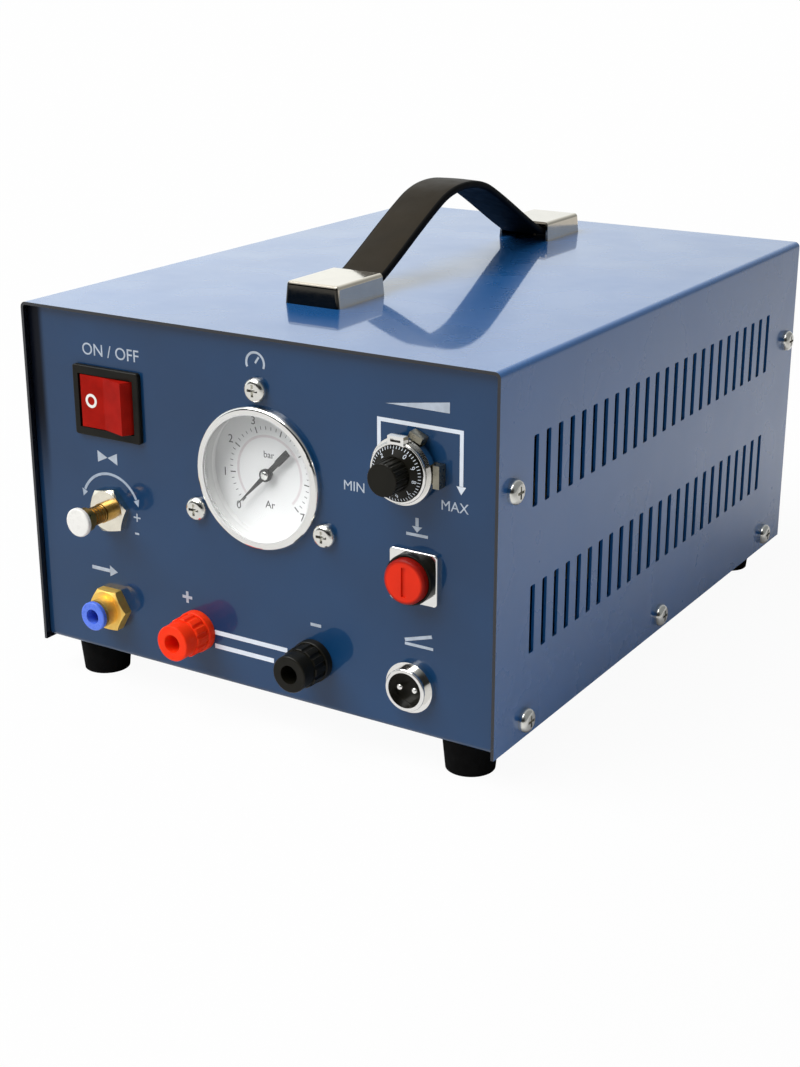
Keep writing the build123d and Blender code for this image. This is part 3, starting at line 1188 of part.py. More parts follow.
# Screws inside the case: in the handle, the transformer, the standoffs and the board
handle_screw = pan_head_screw(M4, SHEET + CAP_H - 3 * CAP_WALL, M4_HEAD_D, M4_HEAD_H)
floor_screw = pan_head_screw(M4, FLOOR_SCREW_L, M4_HEAD_D, M4_HEAD_H)
board_screw = pan_head_screw(M4, BOARD_SCREW_L, M4_HEAD_D, M4_HEAD_H)
with BuildPart() as inner_screws:
    for x, y in handle_screw_places:
        with Locations(Plane(origin=(x, y, CASE_TOP - SHEET), z_dir=(0, 0, -1))):
            add(handle_screw)
    for x, y in floor_screw_places:
        with Locations(Plane(origin=(x, y, FLOOR_Z), z_dir=(0, 0, -1))):
            add(floor_screw)
    for x, y in standoff_places:
        with Locations(Plane(origin=(x, y, board_z + BOARD_T))):
            add(board_screw)
save(inner_screws, "inner_screws")

# Screws on the rear panel
fan_screw = pan_head_screw(M4, GUARD_WIRE + SHEET + FAN_T + NUT_H + NUT_ROOM, M4_HEAD_D, M4_HEAD_H)
inlet_screw = pan_head_screw(M4, INLET_FLANGE_T + SHEET + NUT_H + NUT_ROOM, M4_HEAD_D, M4_HEAD_H)
with BuildPart() as rear_screws:
    for plane in fan_screw_planes:
        with Locations(plane.offset(GUARD_WIRE)):
            add(fan_screw)
    for plane in inlet_screw_planes:
        with Locations(plane.offset(INLET_FLANGE_T)):
            add(inlet_screw)
save(rear_screws, "rear_screws")

# Nuts: plane, lower face along the plane's normal, width over flats, thickness and thread
gauge_nut_low = -SHEET - GAUGE_FLANGE_T - NUT_H
nut_list = [(plane, gauge_nut_low, M5_NUT, NUT_H, M5) for plane in gauge_screw_planes]
nut_list += [(button_at, -SHEET - NUT_H, BUTTON_NUT, NUT_H, BUTTON_BODY_D)]
nut_list += [(socket_at, -SHEET - NUT_H, SOCKET_NUT, NUT_H, SOCKET_D)]
nut_list += [(outlet_at, -SHEET - NUT_H, OUTLET_NUT, NUT_H, OUTLET_THREAD_D)]
nut_list += [(dial_at, dial_seat, POT_NUT, POT_NUT_H, POT_BUSH_D)]
nut_list += [(plane, washer_back - NUT_H, POST_NUT, NUT_H, STUD_D) for plane in (red_at, black_at)]
nut_list += [(plane, fan_back - NUT_H, M4_NUT, NUT_H, M4) for plane in fan_screw_planes]
nut_list += [(plane, -SHEET - NUT_H, M4_NUT, NUT_H, M4) for plane in inlet_screw_planes]
nut_list += [(Plane(origin=(x, y, FLOOR_TOP)), 0, M5_NUT, NUT_H, M5) for x, y in foot_places.values()]
with BuildPart() as panel_nuts:
    for plane, low, across_flats, thickness, thread in nut_list:
        hexagon(plane, low, low + thickness, across_flats)
    for plane, low, across_flats, thickness, thread in nut_list:
        disc(plane, low, low + thickness, thread, Mode.SUBTRACT)
save(panel_nuts, "panel_nuts")
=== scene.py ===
# %% [markdown]
# A pulse-arc spot welder, dressed in Blender.
# The machine is a bench unit: a folded blue case with a strap handle, and a front panel full of fittings.
# Its pieces come from a CAD model that is already the right size, so this lesson never moves or stretches them.
# What is left to make is what CAD leaves plain: the finish of every surface, the soft strap, and the print.

# %% Load the frame
from math import cos, pi, radians, sin

import bmesh
import bpy
from mathutils import Matrix, Vector


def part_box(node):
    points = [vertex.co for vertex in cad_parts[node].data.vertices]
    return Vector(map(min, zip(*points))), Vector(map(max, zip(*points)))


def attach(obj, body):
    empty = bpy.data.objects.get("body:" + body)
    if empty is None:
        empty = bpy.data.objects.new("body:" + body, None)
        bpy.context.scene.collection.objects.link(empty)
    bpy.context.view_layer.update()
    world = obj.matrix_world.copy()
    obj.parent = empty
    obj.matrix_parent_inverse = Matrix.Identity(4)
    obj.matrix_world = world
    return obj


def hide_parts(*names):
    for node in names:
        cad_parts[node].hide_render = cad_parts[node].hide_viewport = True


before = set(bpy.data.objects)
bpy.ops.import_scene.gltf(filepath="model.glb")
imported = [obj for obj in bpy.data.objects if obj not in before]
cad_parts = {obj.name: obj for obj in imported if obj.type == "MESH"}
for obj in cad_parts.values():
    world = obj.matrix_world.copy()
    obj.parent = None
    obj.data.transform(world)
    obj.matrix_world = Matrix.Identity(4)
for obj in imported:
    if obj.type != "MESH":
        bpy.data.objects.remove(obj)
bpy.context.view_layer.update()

MM = 0.001

# %% [markdown]
# The camera comes first, because every later choice is judged through it.
# It stands in front of the machine, to its right and a little above, as the photographer did.
# A longish lens keeps the case from bulging. The sensor width belongs to the long side of an upright picture.

# %% Set the camera
CAMERA_PLACE = Vector((0.3784, -0.6422, 0.3024))
CAMERA_AIM = Vector((-0.0072, -0.0225, 0.0430))
LENS = 58.97
SENSOR = 36.0

camera_data = bpy.data.cameras.new("photo_camera")
camera_data.lens = LENS
camera_data.sensor_width = SENSOR
camera = bpy.data.objects.new("photo_camera", camera_data)
bpy.context.scene.collection.objects.link(camera)
camera.location = CAMERA_PLACE
camera.rotation_euler = (CAMERA_AIM - CAMERA_PLACE).to_track_quat("-Z", "Y").to_euler()
bpy.context.scene.camera = camera
bpy.context.scene.view_settings.view_transform = "Standard"
print("camera", round((CAMERA_AIM - CAMERA_PLACE).length, 3), "m from its aim, lens", LENS, "mm")

# %% [markdown]
# Node trees repeat the same three moves: add a node, set its sockets, link it to others.
# One small helper does all three, so each recipe below reads like a list of what the surface has.
# Three kinds of node come up again and again: one that reckons, one that carries a range over to another,
# and one that knows the place on the surface. Each of them has a short way in.

# %% Helpers that add and wire shader nodes
def add_node(tree, kind, values=None, **settings):
    """Add a node, set its options, and link or set each named input."""
    made = tree.nodes.new(kind)
    for key, value in settings.items():
        setattr(made, key, value)
    for key, value in (values or {}).items():
        if isinstance(value, bpy.types.NodeSocket):
            tree.links.new(value, made.inputs[key])
        else:
            made.inputs[key].default_value = value
    return made


def reckon(tree, operation, first, second=0.0):
    """One sum or test on two sockets or numbers."""
    return add_node(tree, "ShaderNodeMath", {0: first, 1: second}, operation=operation).outputs[0]


def ramp(tree, value, span=(0.0, 1.0), levels=(0.0, 1.0), interpolation="LINEAR"):
    """Carry a value over from a span to other levels, and hold it at the ends."""
    return add_node(tree, "ShaderNodeMapRange", {"Value": value, "From Min": span[0], "From Max": span[1],
                                                 "To Min": levels[0], "To Max": levels[1]},
                    interpolation_type=interpolation).outputs[0]


def place_on(tree):
    """The place of a point on the surface, in the object's own space."""
    return add_node(tree, "ShaderNodeTexCoord").outputs["Object"]


print("helpers ready: add_node, reckon, ramp and place_on")

# %% [markdown]
# A studio picture wants a background that looks white but does not light the machine as a white room would.
# The light path node tells the rays apart: those that look at a thing straight or through glass, those that see it
# in a mirror, and those that only gather light. A ray that has bounced off a matt surface is of the last kind.

# %% Tell looking rays from lighting rays
def looking_rays(tree):
    """Two switches: 1 for rays of the eye, and 1 for rays by way of a mirror. Both are 0 after a matt bounce."""
    path = add_node(tree, "ShaderNodeLightPath").outputs
    fresh = reckon(tree, "LESS_THAN", path["Diffuse Depth"], 0.5)
    straight = reckon(tree, "MAXIMUM", path["Is Camera Ray"], path["Is Transmission Ray"])
    eye = reckon(tree, "MULTIPLY", straight, fresh)
    mirror = reckon(tree, "MULTIPLY", path["Is Glossy Ray"], fresh)
    return eye, mirror


print("helper ready: looking_rays")

# %% [markdown]
# The machine stands on white paper. To the eye the paper glows almost by itself, which keeps it white to the edges
# of the picture with only a breath of shadow. Gloss paint and plating mirror it as plain matt paper with the lamp's
# shadow on it, and with painted shade too: its colour is painted greyer to the right, away from the lamp. So the dark
# foot of the case's right side mirrors both that shadow and the painted shade.

# %% Lay the floor
FLOOR_REACH = 30.0
PAPER_NEAR = 0.78
PAPER_RIGHT_SHADE = 0.46
PAPER_SHADE_FADE = (0.12, 0.45)
FLOOR_GLOW = 0.95

floor_mesh = bpy.data.meshes.new("floor")
floor_corners = [(x * FLOOR_REACH, y * FLOOR_REACH, 0) for x, y in ((-1, -1), (1, -1), (1, 1), (-1, 1))]
floor_mesh.from_pydata(floor_corners, [], [(0, 1, 2, 3)])
floor = bpy.data.objects.new("floor", floor_mesh)
bpy.context.scene.collection.objects.link(floor)

floor_paper = bpy.data.materials.new("floor_paper")
floor_paper.use_nodes = True
paper = floor_paper.node_tree
paper.nodes.clear()
paper_eye = looking_rays(paper)[0]
paper_share = reckon(paper, "MULTIPLY", paper_eye, FLOOR_GLOW)
paper_across = add_node(paper, "ShaderNodeSeparateXYZ", {0: place_on(paper)}).outputs["X"]
# Painted shade: the paper's colour falls from near to right, greyer away from the lamp.
paper_painted_shade = ramp(paper, paper_across, PAPER_SHADE_FADE, (PAPER_NEAR, PAPER_RIGHT_SHADE))
paper_matt = add_node(paper, "ShaderNodeBsdfDiffuse", {"Color": paper_painted_shade})
paper_glow = add_node(paper, "ShaderNodeEmission", {"Color": (1, 1, 1, 1), "Strength": 1.0})
paper_mix = add_node(paper, "ShaderNodeMixShader", {0: paper_share, 1: paper_matt.outputs[0],
                                                    2: paper_glow.outputs[0]})
add_node(paper, "ShaderNodeOutputMaterial", {"Surface": paper_mix.outputs[0]})
floor_mesh.materials.append(floor_paper)
print("floor", 2 * FLOOR_REACH, "m across, glow share", FLOOR_GLOW)

# %% [markdown]
# The room lights the machine evenly and rather weakly from all round. What its gloss and plating mirror matters more:
# a bright wall at the back left, a dimmer one to the right, and the dark half of the studio behind the camera.
# Without that dark part, bright plating has nothing to show its shape with. Each change runs between two headings:
# how far a ray points to the right, to the rear or up, from -1 to 1.

# %% Build the room
ROOM_LIGHT = 0.20
WALL_RIGHT = 0.30
WALL_LEFT = 1.20
STUDIO_DARK = 0.02
WALL_TURN = (0.35, -0.70)
STUDIO_TURN = (-0.30, -0.70)
STUDIO_TOP = (0.78, 0.45)
DAYLIGHT = (0.93, 0.975, 1, 1)

world = bpy.data.worlds.new("studio")
bpy.context.scene.world = world
world.use_nodes = True
room = world.node_tree
room.nodes.clear()
room_eye, room_mirror = looking_rays(room)
towards = add_node(room, "ShaderNodeTexCoord").outputs["Generated"]
heading = add_node(room, "ShaderNodeSeparateXYZ", {0: towards}).outputs
wall = ramp(room, heading["X"], WALL_TURN, (WALL_RIGHT, WALL_LEFT))
front = ramp(room, heading["Y"], STUDIO_TURN, interpolation="SMOOTHSTEP")
low = ramp(room, heading["Z"], STUDIO_TOP, interpolation="SMOOTHSTEP")
behind = reckon(room, "MULTIPLY", front, low)
mirrored = ramp(room, behind, levels=(wall, STUDIO_DARK))
strength = ramp(room, room_mirror, levels=(1.0, mirrored))
looked_at = reckon(room, "MAXIMUM", room_eye, room_mirror)
lit = add_node(room, "ShaderNodeBackground", {"Color": (1, 1, 1, 1), "Strength": ROOM_LIGHT})
shown = add_node(room, "ShaderNodeBackground", {"Color": DAYLIGHT, "Strength": strength})
room_mix = add_node(room, "ShaderNodeMixShader", {0: looked_at, 1: lit.outputs[0], 2: shown.outputs[0]})
add_node(room, "ShaderNodeOutputWorld", {"Surface": room_mix.outputs[0]})
print("room light", ROOM_LIGHT, "mirrored walls", WALL_RIGHT, "to", WALL_LEFT)

# %% [markdown]
# One broad lamp does most of the work. It hangs above the front left, so the lid and the front are well lit,
# the right side falls into shade, and the shadow on the paper lies on the right. A wide spread softens it all.

# %% Hang the lamp
LAMP_FROM = Vector((-0.34, -0.46, 0.82))
LAMP_STRENGTH = 3.5
LAMP_SPREAD = radians(50)

lamp_data = bpy.data.lights.new("studio_lamp", "SUN")
lamp_data.energy = LAMP_STRENGTH
lamp_data.angle = LAMP_SPREAD
lamp = bpy.data.objects.new("studio_lamp", lamp_data)
bpy.context.scene.collection.objects.link(lamp)
lamp.rotation_euler = LAMP_FROM.to_track_quat("Z", "Y").to_euler()
print("lamp", LAMP_STRENGTH, "from", [round(value, 2) for value in LAMP_FROM])

# %% [markdown]
# No real surface is one flat colour. Paint is a shade thicker here and there, plating dulls where it is touched,
# moulded plastic has a fine skin. One recipe covers them all: soft clouds drive the colour and the roughness,
# and a much finer grain drives a bump of a few microns. All of it is in object space, so nothing needs unwrapping.

# %% The finish recipe
CLOUD_SPAN = (0.3, 0.7)
SMUDGE_FINER = 2.3


def tint(colour, factor):
    """The same hue, lighter or darker, as a shader colour."""
    return tuple(min(channel * factor, 1.0) for channel in colour) + (1.0,)


def finish(name, colour, roughness, patch=30 * MM, drift=0.1, swing=0.06, grain=0.6 * MM, relief=0.002 * MM,
           metallic=0.0, sockets=None):
    """A principled surface whose colour and roughness drift over soft patches, with a fine grain."""
    material = bpy.data.materials.new(name)
    material.use_nodes = True
    tree = material.node_tree
    shader = tree.nodes["Principled BSDF"]
    place = place_on(tree)
    clouds = add_node(tree, "ShaderNodeTexNoise", {"Vector": place, "Scale": 1 / patch, "Detail": 4.0})
    shades = add_node(tree, "ShaderNodeValToRGB", {"Fac": clouds.outputs["Fac"]})
    for stop, position, factor in zip(shades.color_ramp.elements, CLOUD_SPAN, (1 - drift, 1 + drift)):
        stop.position = position
        stop.color = tint(colour, factor)
    tree.links.new(shades.outputs["Color"], shader.inputs["Base Color"])
    smudges = add_node(tree, "ShaderNodeTexNoise", {"Vector": place, "Scale": SMUDGE_FINER / patch, "Detail": 6.0})
    dullness = ramp(tree, smudges.outputs["Fac"], CLOUD_SPAN, (roughness - swing, roughness + swing))
    tree.links.new(dullness, shader.inputs["Roughness"])
    skin = add_node(tree, "ShaderNodeTexNoise", {"Vector": place, "Scale": 1 / grain, "Detail": 2.0})
    bump = add_node(tree, "ShaderNodeBump", {"Height": skin.outputs["Fac"], "Distance": relief, "Strength": 1.0})
    tree.links.new(bump.outputs["Normal"], shader.inputs["Normal"])
    shader.inputs["Metallic"].default_value = metallic
    for socket, value in (sockets or {}).items():
        shader.inputs[socket].default_value = value
    return material


print("recipe ready: finish")

# %% [markdown]
# Some pieces have a second colour on part of their surface. It is laid over the first one where a share between
# 0 and 1 says so. A CAD node is dressed by clearing its material slots and adding the finish. A running list tells
# at the end whether a node was forgotten.

# %% Helpers that paint over and dress
def paint_over(material, share, colour):
    """Lay another colour over a finish where the share is 1."""
    tree = material.node_tree
    shader = tree.nodes["Principled BSDF"]
    under = shader.inputs["Base Color"].links[0].from_socket
    mixed = add_node(tree, "ShaderNodeMixRGB", {"Fac": share, "Color1": under, "Color2": colour})
    tree.links.new(mixed.outputs[0], shader.inputs["Base Color"])


dressed = set()


def dress(material, *nodes):
    """Give CAD nodes a finish."""
    for name in nodes:
        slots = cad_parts[name].data.materials
        slots.clear()
        slots.append(material)
        dressed.add(name)
    print(material.name, "on", len(nodes), "nodes")


print("helpers ready: paint_over and dress")

# %% [markdown]
# The case is sheet steel with a blue baked enamel. The cover is gloss: seen from low in front its lid mirrors the room
# and turns pale. A clear coat layer does this by itself: it mirrors little when faced squarely and much at a grazing
# angle. The cover's inside and its cut edges are painted almost black. Inside it is painted shade, where the cover
# shades itself; at the cut edges it is partly a thin edge of enamel and partly painted shade of the gap in front of the
# panel. Tests on the place pick them out.

# %% Cover paint
SHEET = 1.2 * MM
EDGE_MARGIN = 0.1 * MM
PAINTED_SHADE_AND_BARE_EDGE = (0.0015, 0.003, 0.008, 1.0)
cover_paint = finish("cover_paint", (0.017, 0.125, 0.38), 0.28, patch=70 * MM, drift=0.06, grain=2.6 * MM,
                     relief=0.0008 * MM, sockets={"Coat Weight": 1.0, "Coat IOR": 1.5, "Coat Roughness": 0.04,
                                                  "Specular IOR Level": 0.2})
cover_tree = cover_paint.node_tree
cover_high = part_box("top_cover")[1]
cover_reach = add_node(cover_tree, "ShaderNodeVectorMath", {0: place_on(cover_tree)}, operation="ABSOLUTE").outputs[0]
cover_axes = add_node(cover_tree, "ShaderNodeSeparateXYZ", {0: cover_reach}).outputs
cover_cut = reckon(cover_tree, "GREATER_THAN", cover_axes["Y"], cover_high.y - EDGE_MARGIN)
cover_in = reckon(cover_tree, "LESS_THAN", cover_axes["X"], cover_high.x - SHEET + EDGE_MARGIN)
cover_under = reckon(cover_tree, "LESS_THAN", cover_axes["Z"], cover_high.z - SHEET + EDGE_MARGIN)
cover_shaded_inside = reckon(cover_tree, "MULTIPLY", cover_in, cover_under)
# Painted shade: the cover's inside and its cut edges are darkened to near black.
paint_over(cover_paint, reckon(cover_tree, "MAXIMUM", cover_shaded_inside, cover_cut), PAINTED_SHADE_AND_BARE_EDGE)
dress(cover_paint, "top_cover")

# %% [markdown]
# The chassis makes the front and rear panels, in a darker, more satin coat. Along its upper left edge the front is
# painted darker still: painted shade, standing in for the shade that the cover's folded edge throws there. Two ramps
# multiplied give the strip soft borders: in it the colour goes over to near-black painted shade and the clear coat
# thins out to nothing, so the strip mirrors nothing either.

# %% Panel paint
PANEL_COAT = 0.68
CORNER_ACROSS = (8.0 * MM, 4.5 * MM)
CORNER_UP = (66 * MM, 118 * MM)
CORNER_DEEP = 10 * MM
panel_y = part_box("chassis")[0].y
front_paint = finish("front_paint", (0.0040, 0.038, 0.111), 0.36, patch=55 * MM, drift=0.12, grain=1.2 * MM,
                     relief=0.0015 * MM, sockets={"Coat Weight": PANEL_COAT, "Coat IOR": 1.5, "Coat Roughness": 0.05,
                                                  "Specular IOR Level": 0.15})
front_tree = front_paint.node_tree
front_axes = add_node(front_tree, "ShaderNodeSeparateXYZ", {0: place_on(front_tree)}).outputs
front_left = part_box("chassis")[0].x
corner_near = ramp(front_tree, front_axes["X"], [front_left + across for across in CORNER_ACROSS],
                   interpolation="SMOOTHSTEP")
corner_high = ramp(front_tree, front_axes["Z"], CORNER_UP, interpolation="SMOOTHSTEP")
corner_front = reckon(front_tree, "LESS_THAN", front_axes["Y"], panel_y + CORNER_DEEP)
corner_strip = reckon(front_tree, "MULTIPLY", corner_near, corner_high)
# Painted shade: the strip along the upper left edge is darkened and loses its coat.
corner_painted_shade = reckon(front_tree, "MULTIPLY", corner_strip, corner_front)
corner_shade_coat = ramp(front_tree, corner_painted_shade, levels=(PANEL_COAT, 0.0))
front_tree.links.new(corner_shade_coat, front_tree.nodes["Principled BSDF"].inputs["Coat Weight"])
paint_over(front_paint, corner_painted_shade, PAINTED_SHADE_AND_BARE_EDGE)
dress(front_paint, "chassis")
print("panel face at y", round(panel_y / MM, 2), "mm")

# %% [markdown]
# Bright metals hold and trim the panel. Chrome is almost a mirror, zinc on the hidden nuts is greyer and duller,
# the dial's lever is dull steel, the valve's nut is nickel over brass, and brass is yellow. On the valve the brass has
# the same hue at half the brightness. A metal has no colour under its shine, so metallic is 1 on all of them.

# %% Metals
PLATED = {"patch": 8 * MM, "drift": 0.03, "swing": 0.04, "grain": 0.3 * MM, "relief": 0.0005 * MM, "metallic": 1.0}
CHROME = (0.84, 0.83, 0.80)
chrome = finish("chrome_plate", CHROME, 0.10, **PLATED)
screw_steel = finish("bright_screw_steel", (0.76, 0.75, 0.70), 0.17, patch=4 * MM, drift=0.06, swing=0.06,
                     grain=0.25 * MM, relief=0.0008 * MM, metallic=1.0)
zinc = finish("zinc_plate", (0.56, 0.56, 0.55), 0.34, patch=6 * MM, drift=0.1, swing=0.1, grain=0.4 * MM,
              relief=0.002 * MM, metallic=1.0)
brass = finish("brass", (1.0, 0.64, 0.17), 0.52, patch=4 * MM, drift=0.10, swing=0.06, grain=0.3 * MM,
               relief=0.0015 * MM, metallic=1.0)
valve_brass = finish("valve_brass_half_dark", (0.50, 0.31, 0.085), 0.34, patch=4 * MM, drift=0.15, swing=0.08, grain=0.3 * MM,
                     relief=0.0015 * MM, metallic=1.0)
nickel = finish("nickel_plate", (0.86, 0.81, 0.68), 0.20, patch=5 * MM, drift=0.06, swing=0.06, grain=0.3 * MM,
                relief=0.0008 * MM, metallic=1.0)
lever_steel = finish("dull_lever_steel", (0.30, 0.28, 0.22), 0.30, patch=4 * MM, drift=0.15, swing=0.08,
                     grain=0.3 * MM, relief=0.001 * MM, metallic=1.0)
dress(lever_steel, "dial_lock")
dress(chrome, "dial_base", "button_bezel", "socket_shell", "socket_pins", "fan_guard", "inlet_pins")
dress(screw_steel, "cover_screws", "gauge_screws", "rear_screws", "foot_screws")
dress(zinc, "panel_nuts", "inner_screws", "board_standoffs", "current_shaft", "switch_terminals", "post_studs",
      "gauge_movement", "pot_body")
dress(nickel, "valve_nut")
dress(valve_brass, "valve_spindle", "valve_body")
dress(brass, "outlet_body", "gas_inlet", "solenoid_valve", "gauge_stem")

# %% [markdown]
# The handle's caps have a warm plating, and their end faces are painted near black. A second material would need those
# faces picked out one by one. They are the places that lie farthest from the handle's middle, so the distance along the
# handle can tell where the black goes.

# %% Handle caps
CAP_FADE = (1.3 * MM, 0.9 * MM)
CAP_BLACK = (0.07, 0.065, 0.055, 1.0)
cap_plate = finish("cap_plate", (0.87, 0.79, 0.66), 0.10, **PLATED)
cap_tree = cap_plate.node_tree
handle_front, handle_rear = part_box("handle_cap_front")[0].y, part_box("handle_cap_rear")[1].y
handle_middle, handle_half = (handle_rear + handle_front) / 2, (handle_rear - handle_front) / 2
cap_along = add_node(cap_tree, "ShaderNodeSeparateXYZ", {0: place_on(cap_tree)}).outputs["Y"]
cap_reach = reckon(cap_tree, "ABSOLUTE", reckon(cap_tree, "SUBTRACT", cap_along, handle_middle))
cap_end = ramp(cap_tree, cap_reach, [handle_half - inset for inset in CAP_FADE])
paint_over(cap_plate, cap_end, CAP_BLACK)
dress(cap_plate, "handle_cap_front", "handle_cap_rear")
print("caps end", round(handle_half / MM, 1), "mm from the handle's middle")

# %% [markdown]
# Round fittings are painted, and later labelled, about their axes. Typing those axes in again would let them drift
# from the CAD, so each is measured on its loaded piece where it is first needed. A shader finds the distance from an
# axis in two moves: drop the depth, then measure what is left.

# %% Helpers that find an axis and the distance from it
def axis_of(node):
    """Across and up of a front fitting's axis, from the middle of its box."""
    low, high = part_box(node)
    axis = Vector(((low.x + high.x) / 2, (low.z + high.z) / 2))
    print(node, "has its axis at", [round(value / MM, 1) for value in axis], "mm")
    return axis


def reach_from(material, axis):
    """How far a place on the surface lies from a front fitting's axis."""
    tree = material.node_tree
    flat = add_node(tree, "ShaderNodeVectorMath", {0: place_on(tree), 1: (1, 0, 1)}, operation="MULTIPLY").outputs[0]
    return add_node(tree, "ShaderNodeVectorMath", {0: flat, 1: (axis.x, 0, axis.y)},
                    operation="DISTANCE").outputs["Value"]


gauge_axis = axis_of("gauge_ring")

# %% [markdown]
# The gauge's ring is chrome outside and painted grey inside, so that it doesn't mirror the dial. Inside is where the
# distance from the ring's axis is small: there the colour changes, and metallic goes down to 0.

# %% Gauge ring
SIGHT_RADIUS = 25.2 * MM
RING_GREY = (0.70, 0.70, 0.69, 1.0)
ring_plate = finish("ring_plate", CHROME, 0.10, sockets={"Specular IOR Level": 0.0}, **PLATED)
ring_tree = ring_plate.node_tree
ring_inside = reckon(ring_tree, "LESS_THAN", reach_from(ring_plate, gauge_axis), SIGHT_RADIUS)
ring_metal = reckon(ring_tree, "SUBTRACT", 1.0, ring_inside)
ring_tree.links.new(ring_metal, ring_tree.nodes["Principled BSDF"].inputs["Metallic"])
paint_over(ring_plate, ring_inside, RING_GREY)
dress(ring_plate, "gauge_ring")
print("the ring is grey within", round(SIGHT_RADIUS / MM, 1), "mm of its axis")

# %% [markdown]
# The moulded pieces differ in shine. The posts and the button are plain bright red, the knob and the switch frame
# are satin black, and the rocker is a deeper red. A low specular level keeps the colours strong: in this even light,
# more gloss would lay a grey veil over them. The button's rim is painted a darker red than its face, as painted shade
# on the cap's side, so its colour changes with the distance from its axis. Light goes a little way into the posts'
# red plastic, which evens out their flutes; the subsurface sockets do this.

# %% Plastics
DULL = {"Specular IOR Level": 0.12}
BUTTON_RIM = (6.9 * MM, 8.0 * MM)
RIM_SHADE_RED = (0.28, 0.008, 0.004, 1.0)
black_plastic = finish("satin_black_plastic", (0.0085, 0.0078, 0.0052), 0.34, patch=12 * MM, drift=0.2,
                       grain=0.35 * MM, sockets={"Specular IOR Level": 0.15})
red_plastic = finish("red_plastic", (1.0, 0.040, 0.006), 0.40, patch=10 * MM, drift=0.05, grain=0.5 * MM,
                     sockets={**DULL, "Subsurface Weight": 0.5, "Subsurface Scale": 4 * MM,
                              "Subsurface Radius": (1.0, 0.12, 0.05)})
rocker_red = finish("deep_red_plastic", (0.34, 0.008, 0.004), 0.40, patch=7 * MM, drift=0.15, grain=0.8 * MM,
                    sockets={"Specular IOR Level": 0.04})
white_plastic = finish("white_cap_plastic", (0.86, 0.85, 0.81), 0.28, patch=6 * MM, drift=0.04)
blue_plastic = finish("blue_collet_plastic", (0.09, 0.19, 0.80), 0.28, patch=5 * MM, drift=0.1)
button_red = finish("button_red_plastic", (0.73, 0.027, 0.007), 0.36, patch=9 * MM, drift=0.06, grain=0.5 * MM,
                    sockets=DULL)
# Painted shade: the button's rim is darker red, for the shade on the cap's side.
button_rim_shade = ramp(button_red.node_tree, reach_from(button_red, axis_of("button_cap")), BUTTON_RIM)
paint_over(button_red, button_rim_shade, RIM_SHADE_RED)
dress(button_red, "button_cap")
dress(black_plastic, "switch_housing", "current_knob", "button_body", "socket_insert", "black_post_base",
      "black_post_knob", "fan_frame", "fan_rotor", "power_inlet")
dress(red_plastic, "red_post_base", "red_post_knob")
dress(rocker_red, "switch_rocker")
dress(white_plastic, "valve_cap")
dress(blue_plastic, "outlet_collet")

# %% [markdown]
# The feet are plain black rubber: very rough, almost no highlight, with a coarse skin from the mould.
# The recipe gives all of that with a high roughness and a deeper relief, so nothing new is needed.

# %% Rubber feet
rubber = finish("foot_rubber", (0.0025, 0.0025, 0.0025), 0.72, patch=8 * MM, drift=0.25, swing=0.1, grain=0.5 * MM,
                relief=0.02 * MM, sockets={"Specular IOR Level": 0.05})
dress(rubber, *[f"foot_{corner}" for corner in ("front_left", "front_right", "rear_left", "rear_right")])

# %% [markdown]
# Behind the gauge's lens lie a white enamelled dial, a black needle and the pale inside of the case.
# The lens is clear plastic that mirrors a little. Real glass in a path tracer holds back the lamp's shadow rays, and
# the dial would go grey, so those rays alone meet a transparent surface instead.

# %% Gauge finishes
dial_white = finish("dial_enamel", (0.78, 0.78, 0.78), 0.45, patch=15 * MM, drift=0.02)
needle_black = finish("needle_black", (0.016, 0.016, 0.016), 0.5, patch=5 * MM, drift=0.2)
gauge_white = finish("gauge_case_white", (0.82, 0.82, 0.81), 0.60, patch=12 * MM, drift=0.05,
                     sockets={"Specular IOR Level": 0.0})
lens_clear = finish("gauge_lens_clear", (0.98, 0.99, 0.99), 0.02, patch=20 * MM, drift=0.005, swing=0.01,
                    grain=4 * MM, relief=0.0004 * MM, sockets={"Transmission Weight": 1.0, "IOR": 1.45})
lens_tree = lens_clear.node_tree
lens_shadow = add_node(lens_tree, "ShaderNodeLightPath").outputs["Is Shadow Ray"]
lens_open = add_node(lens_tree, "ShaderNodeBsdfTransparent")
lens_mix = add_node(lens_tree, "ShaderNodeMixShader", {0: lens_shadow,
                                                       1: lens_tree.nodes["Principled BSDF"].outputs[0],
                                                       2: lens_open.outputs[0]})
lens_tree.links.new(lens_mix.outputs[0], lens_tree.nodes["Material Output"].inputs["Surface"])
dress(dial_white, "gauge_dial")
dress(needle_black, "gauge_pointer")
dress(gauge_white, "gauge_case")
dress(lens_clear, "gauge_lens")

# %% [markdown]
# The slots in the sides show a little of the inside, so the pieces there have their own finishes too:
# varnished core plates, yellow tape on the winding, a green board, dark sleeves on the capacitors, milky hoses.
# The core is a stack of thin plates, and bands across its depth draw their edges. After this only the strap is left
# undressed, because it gets a form of its own.

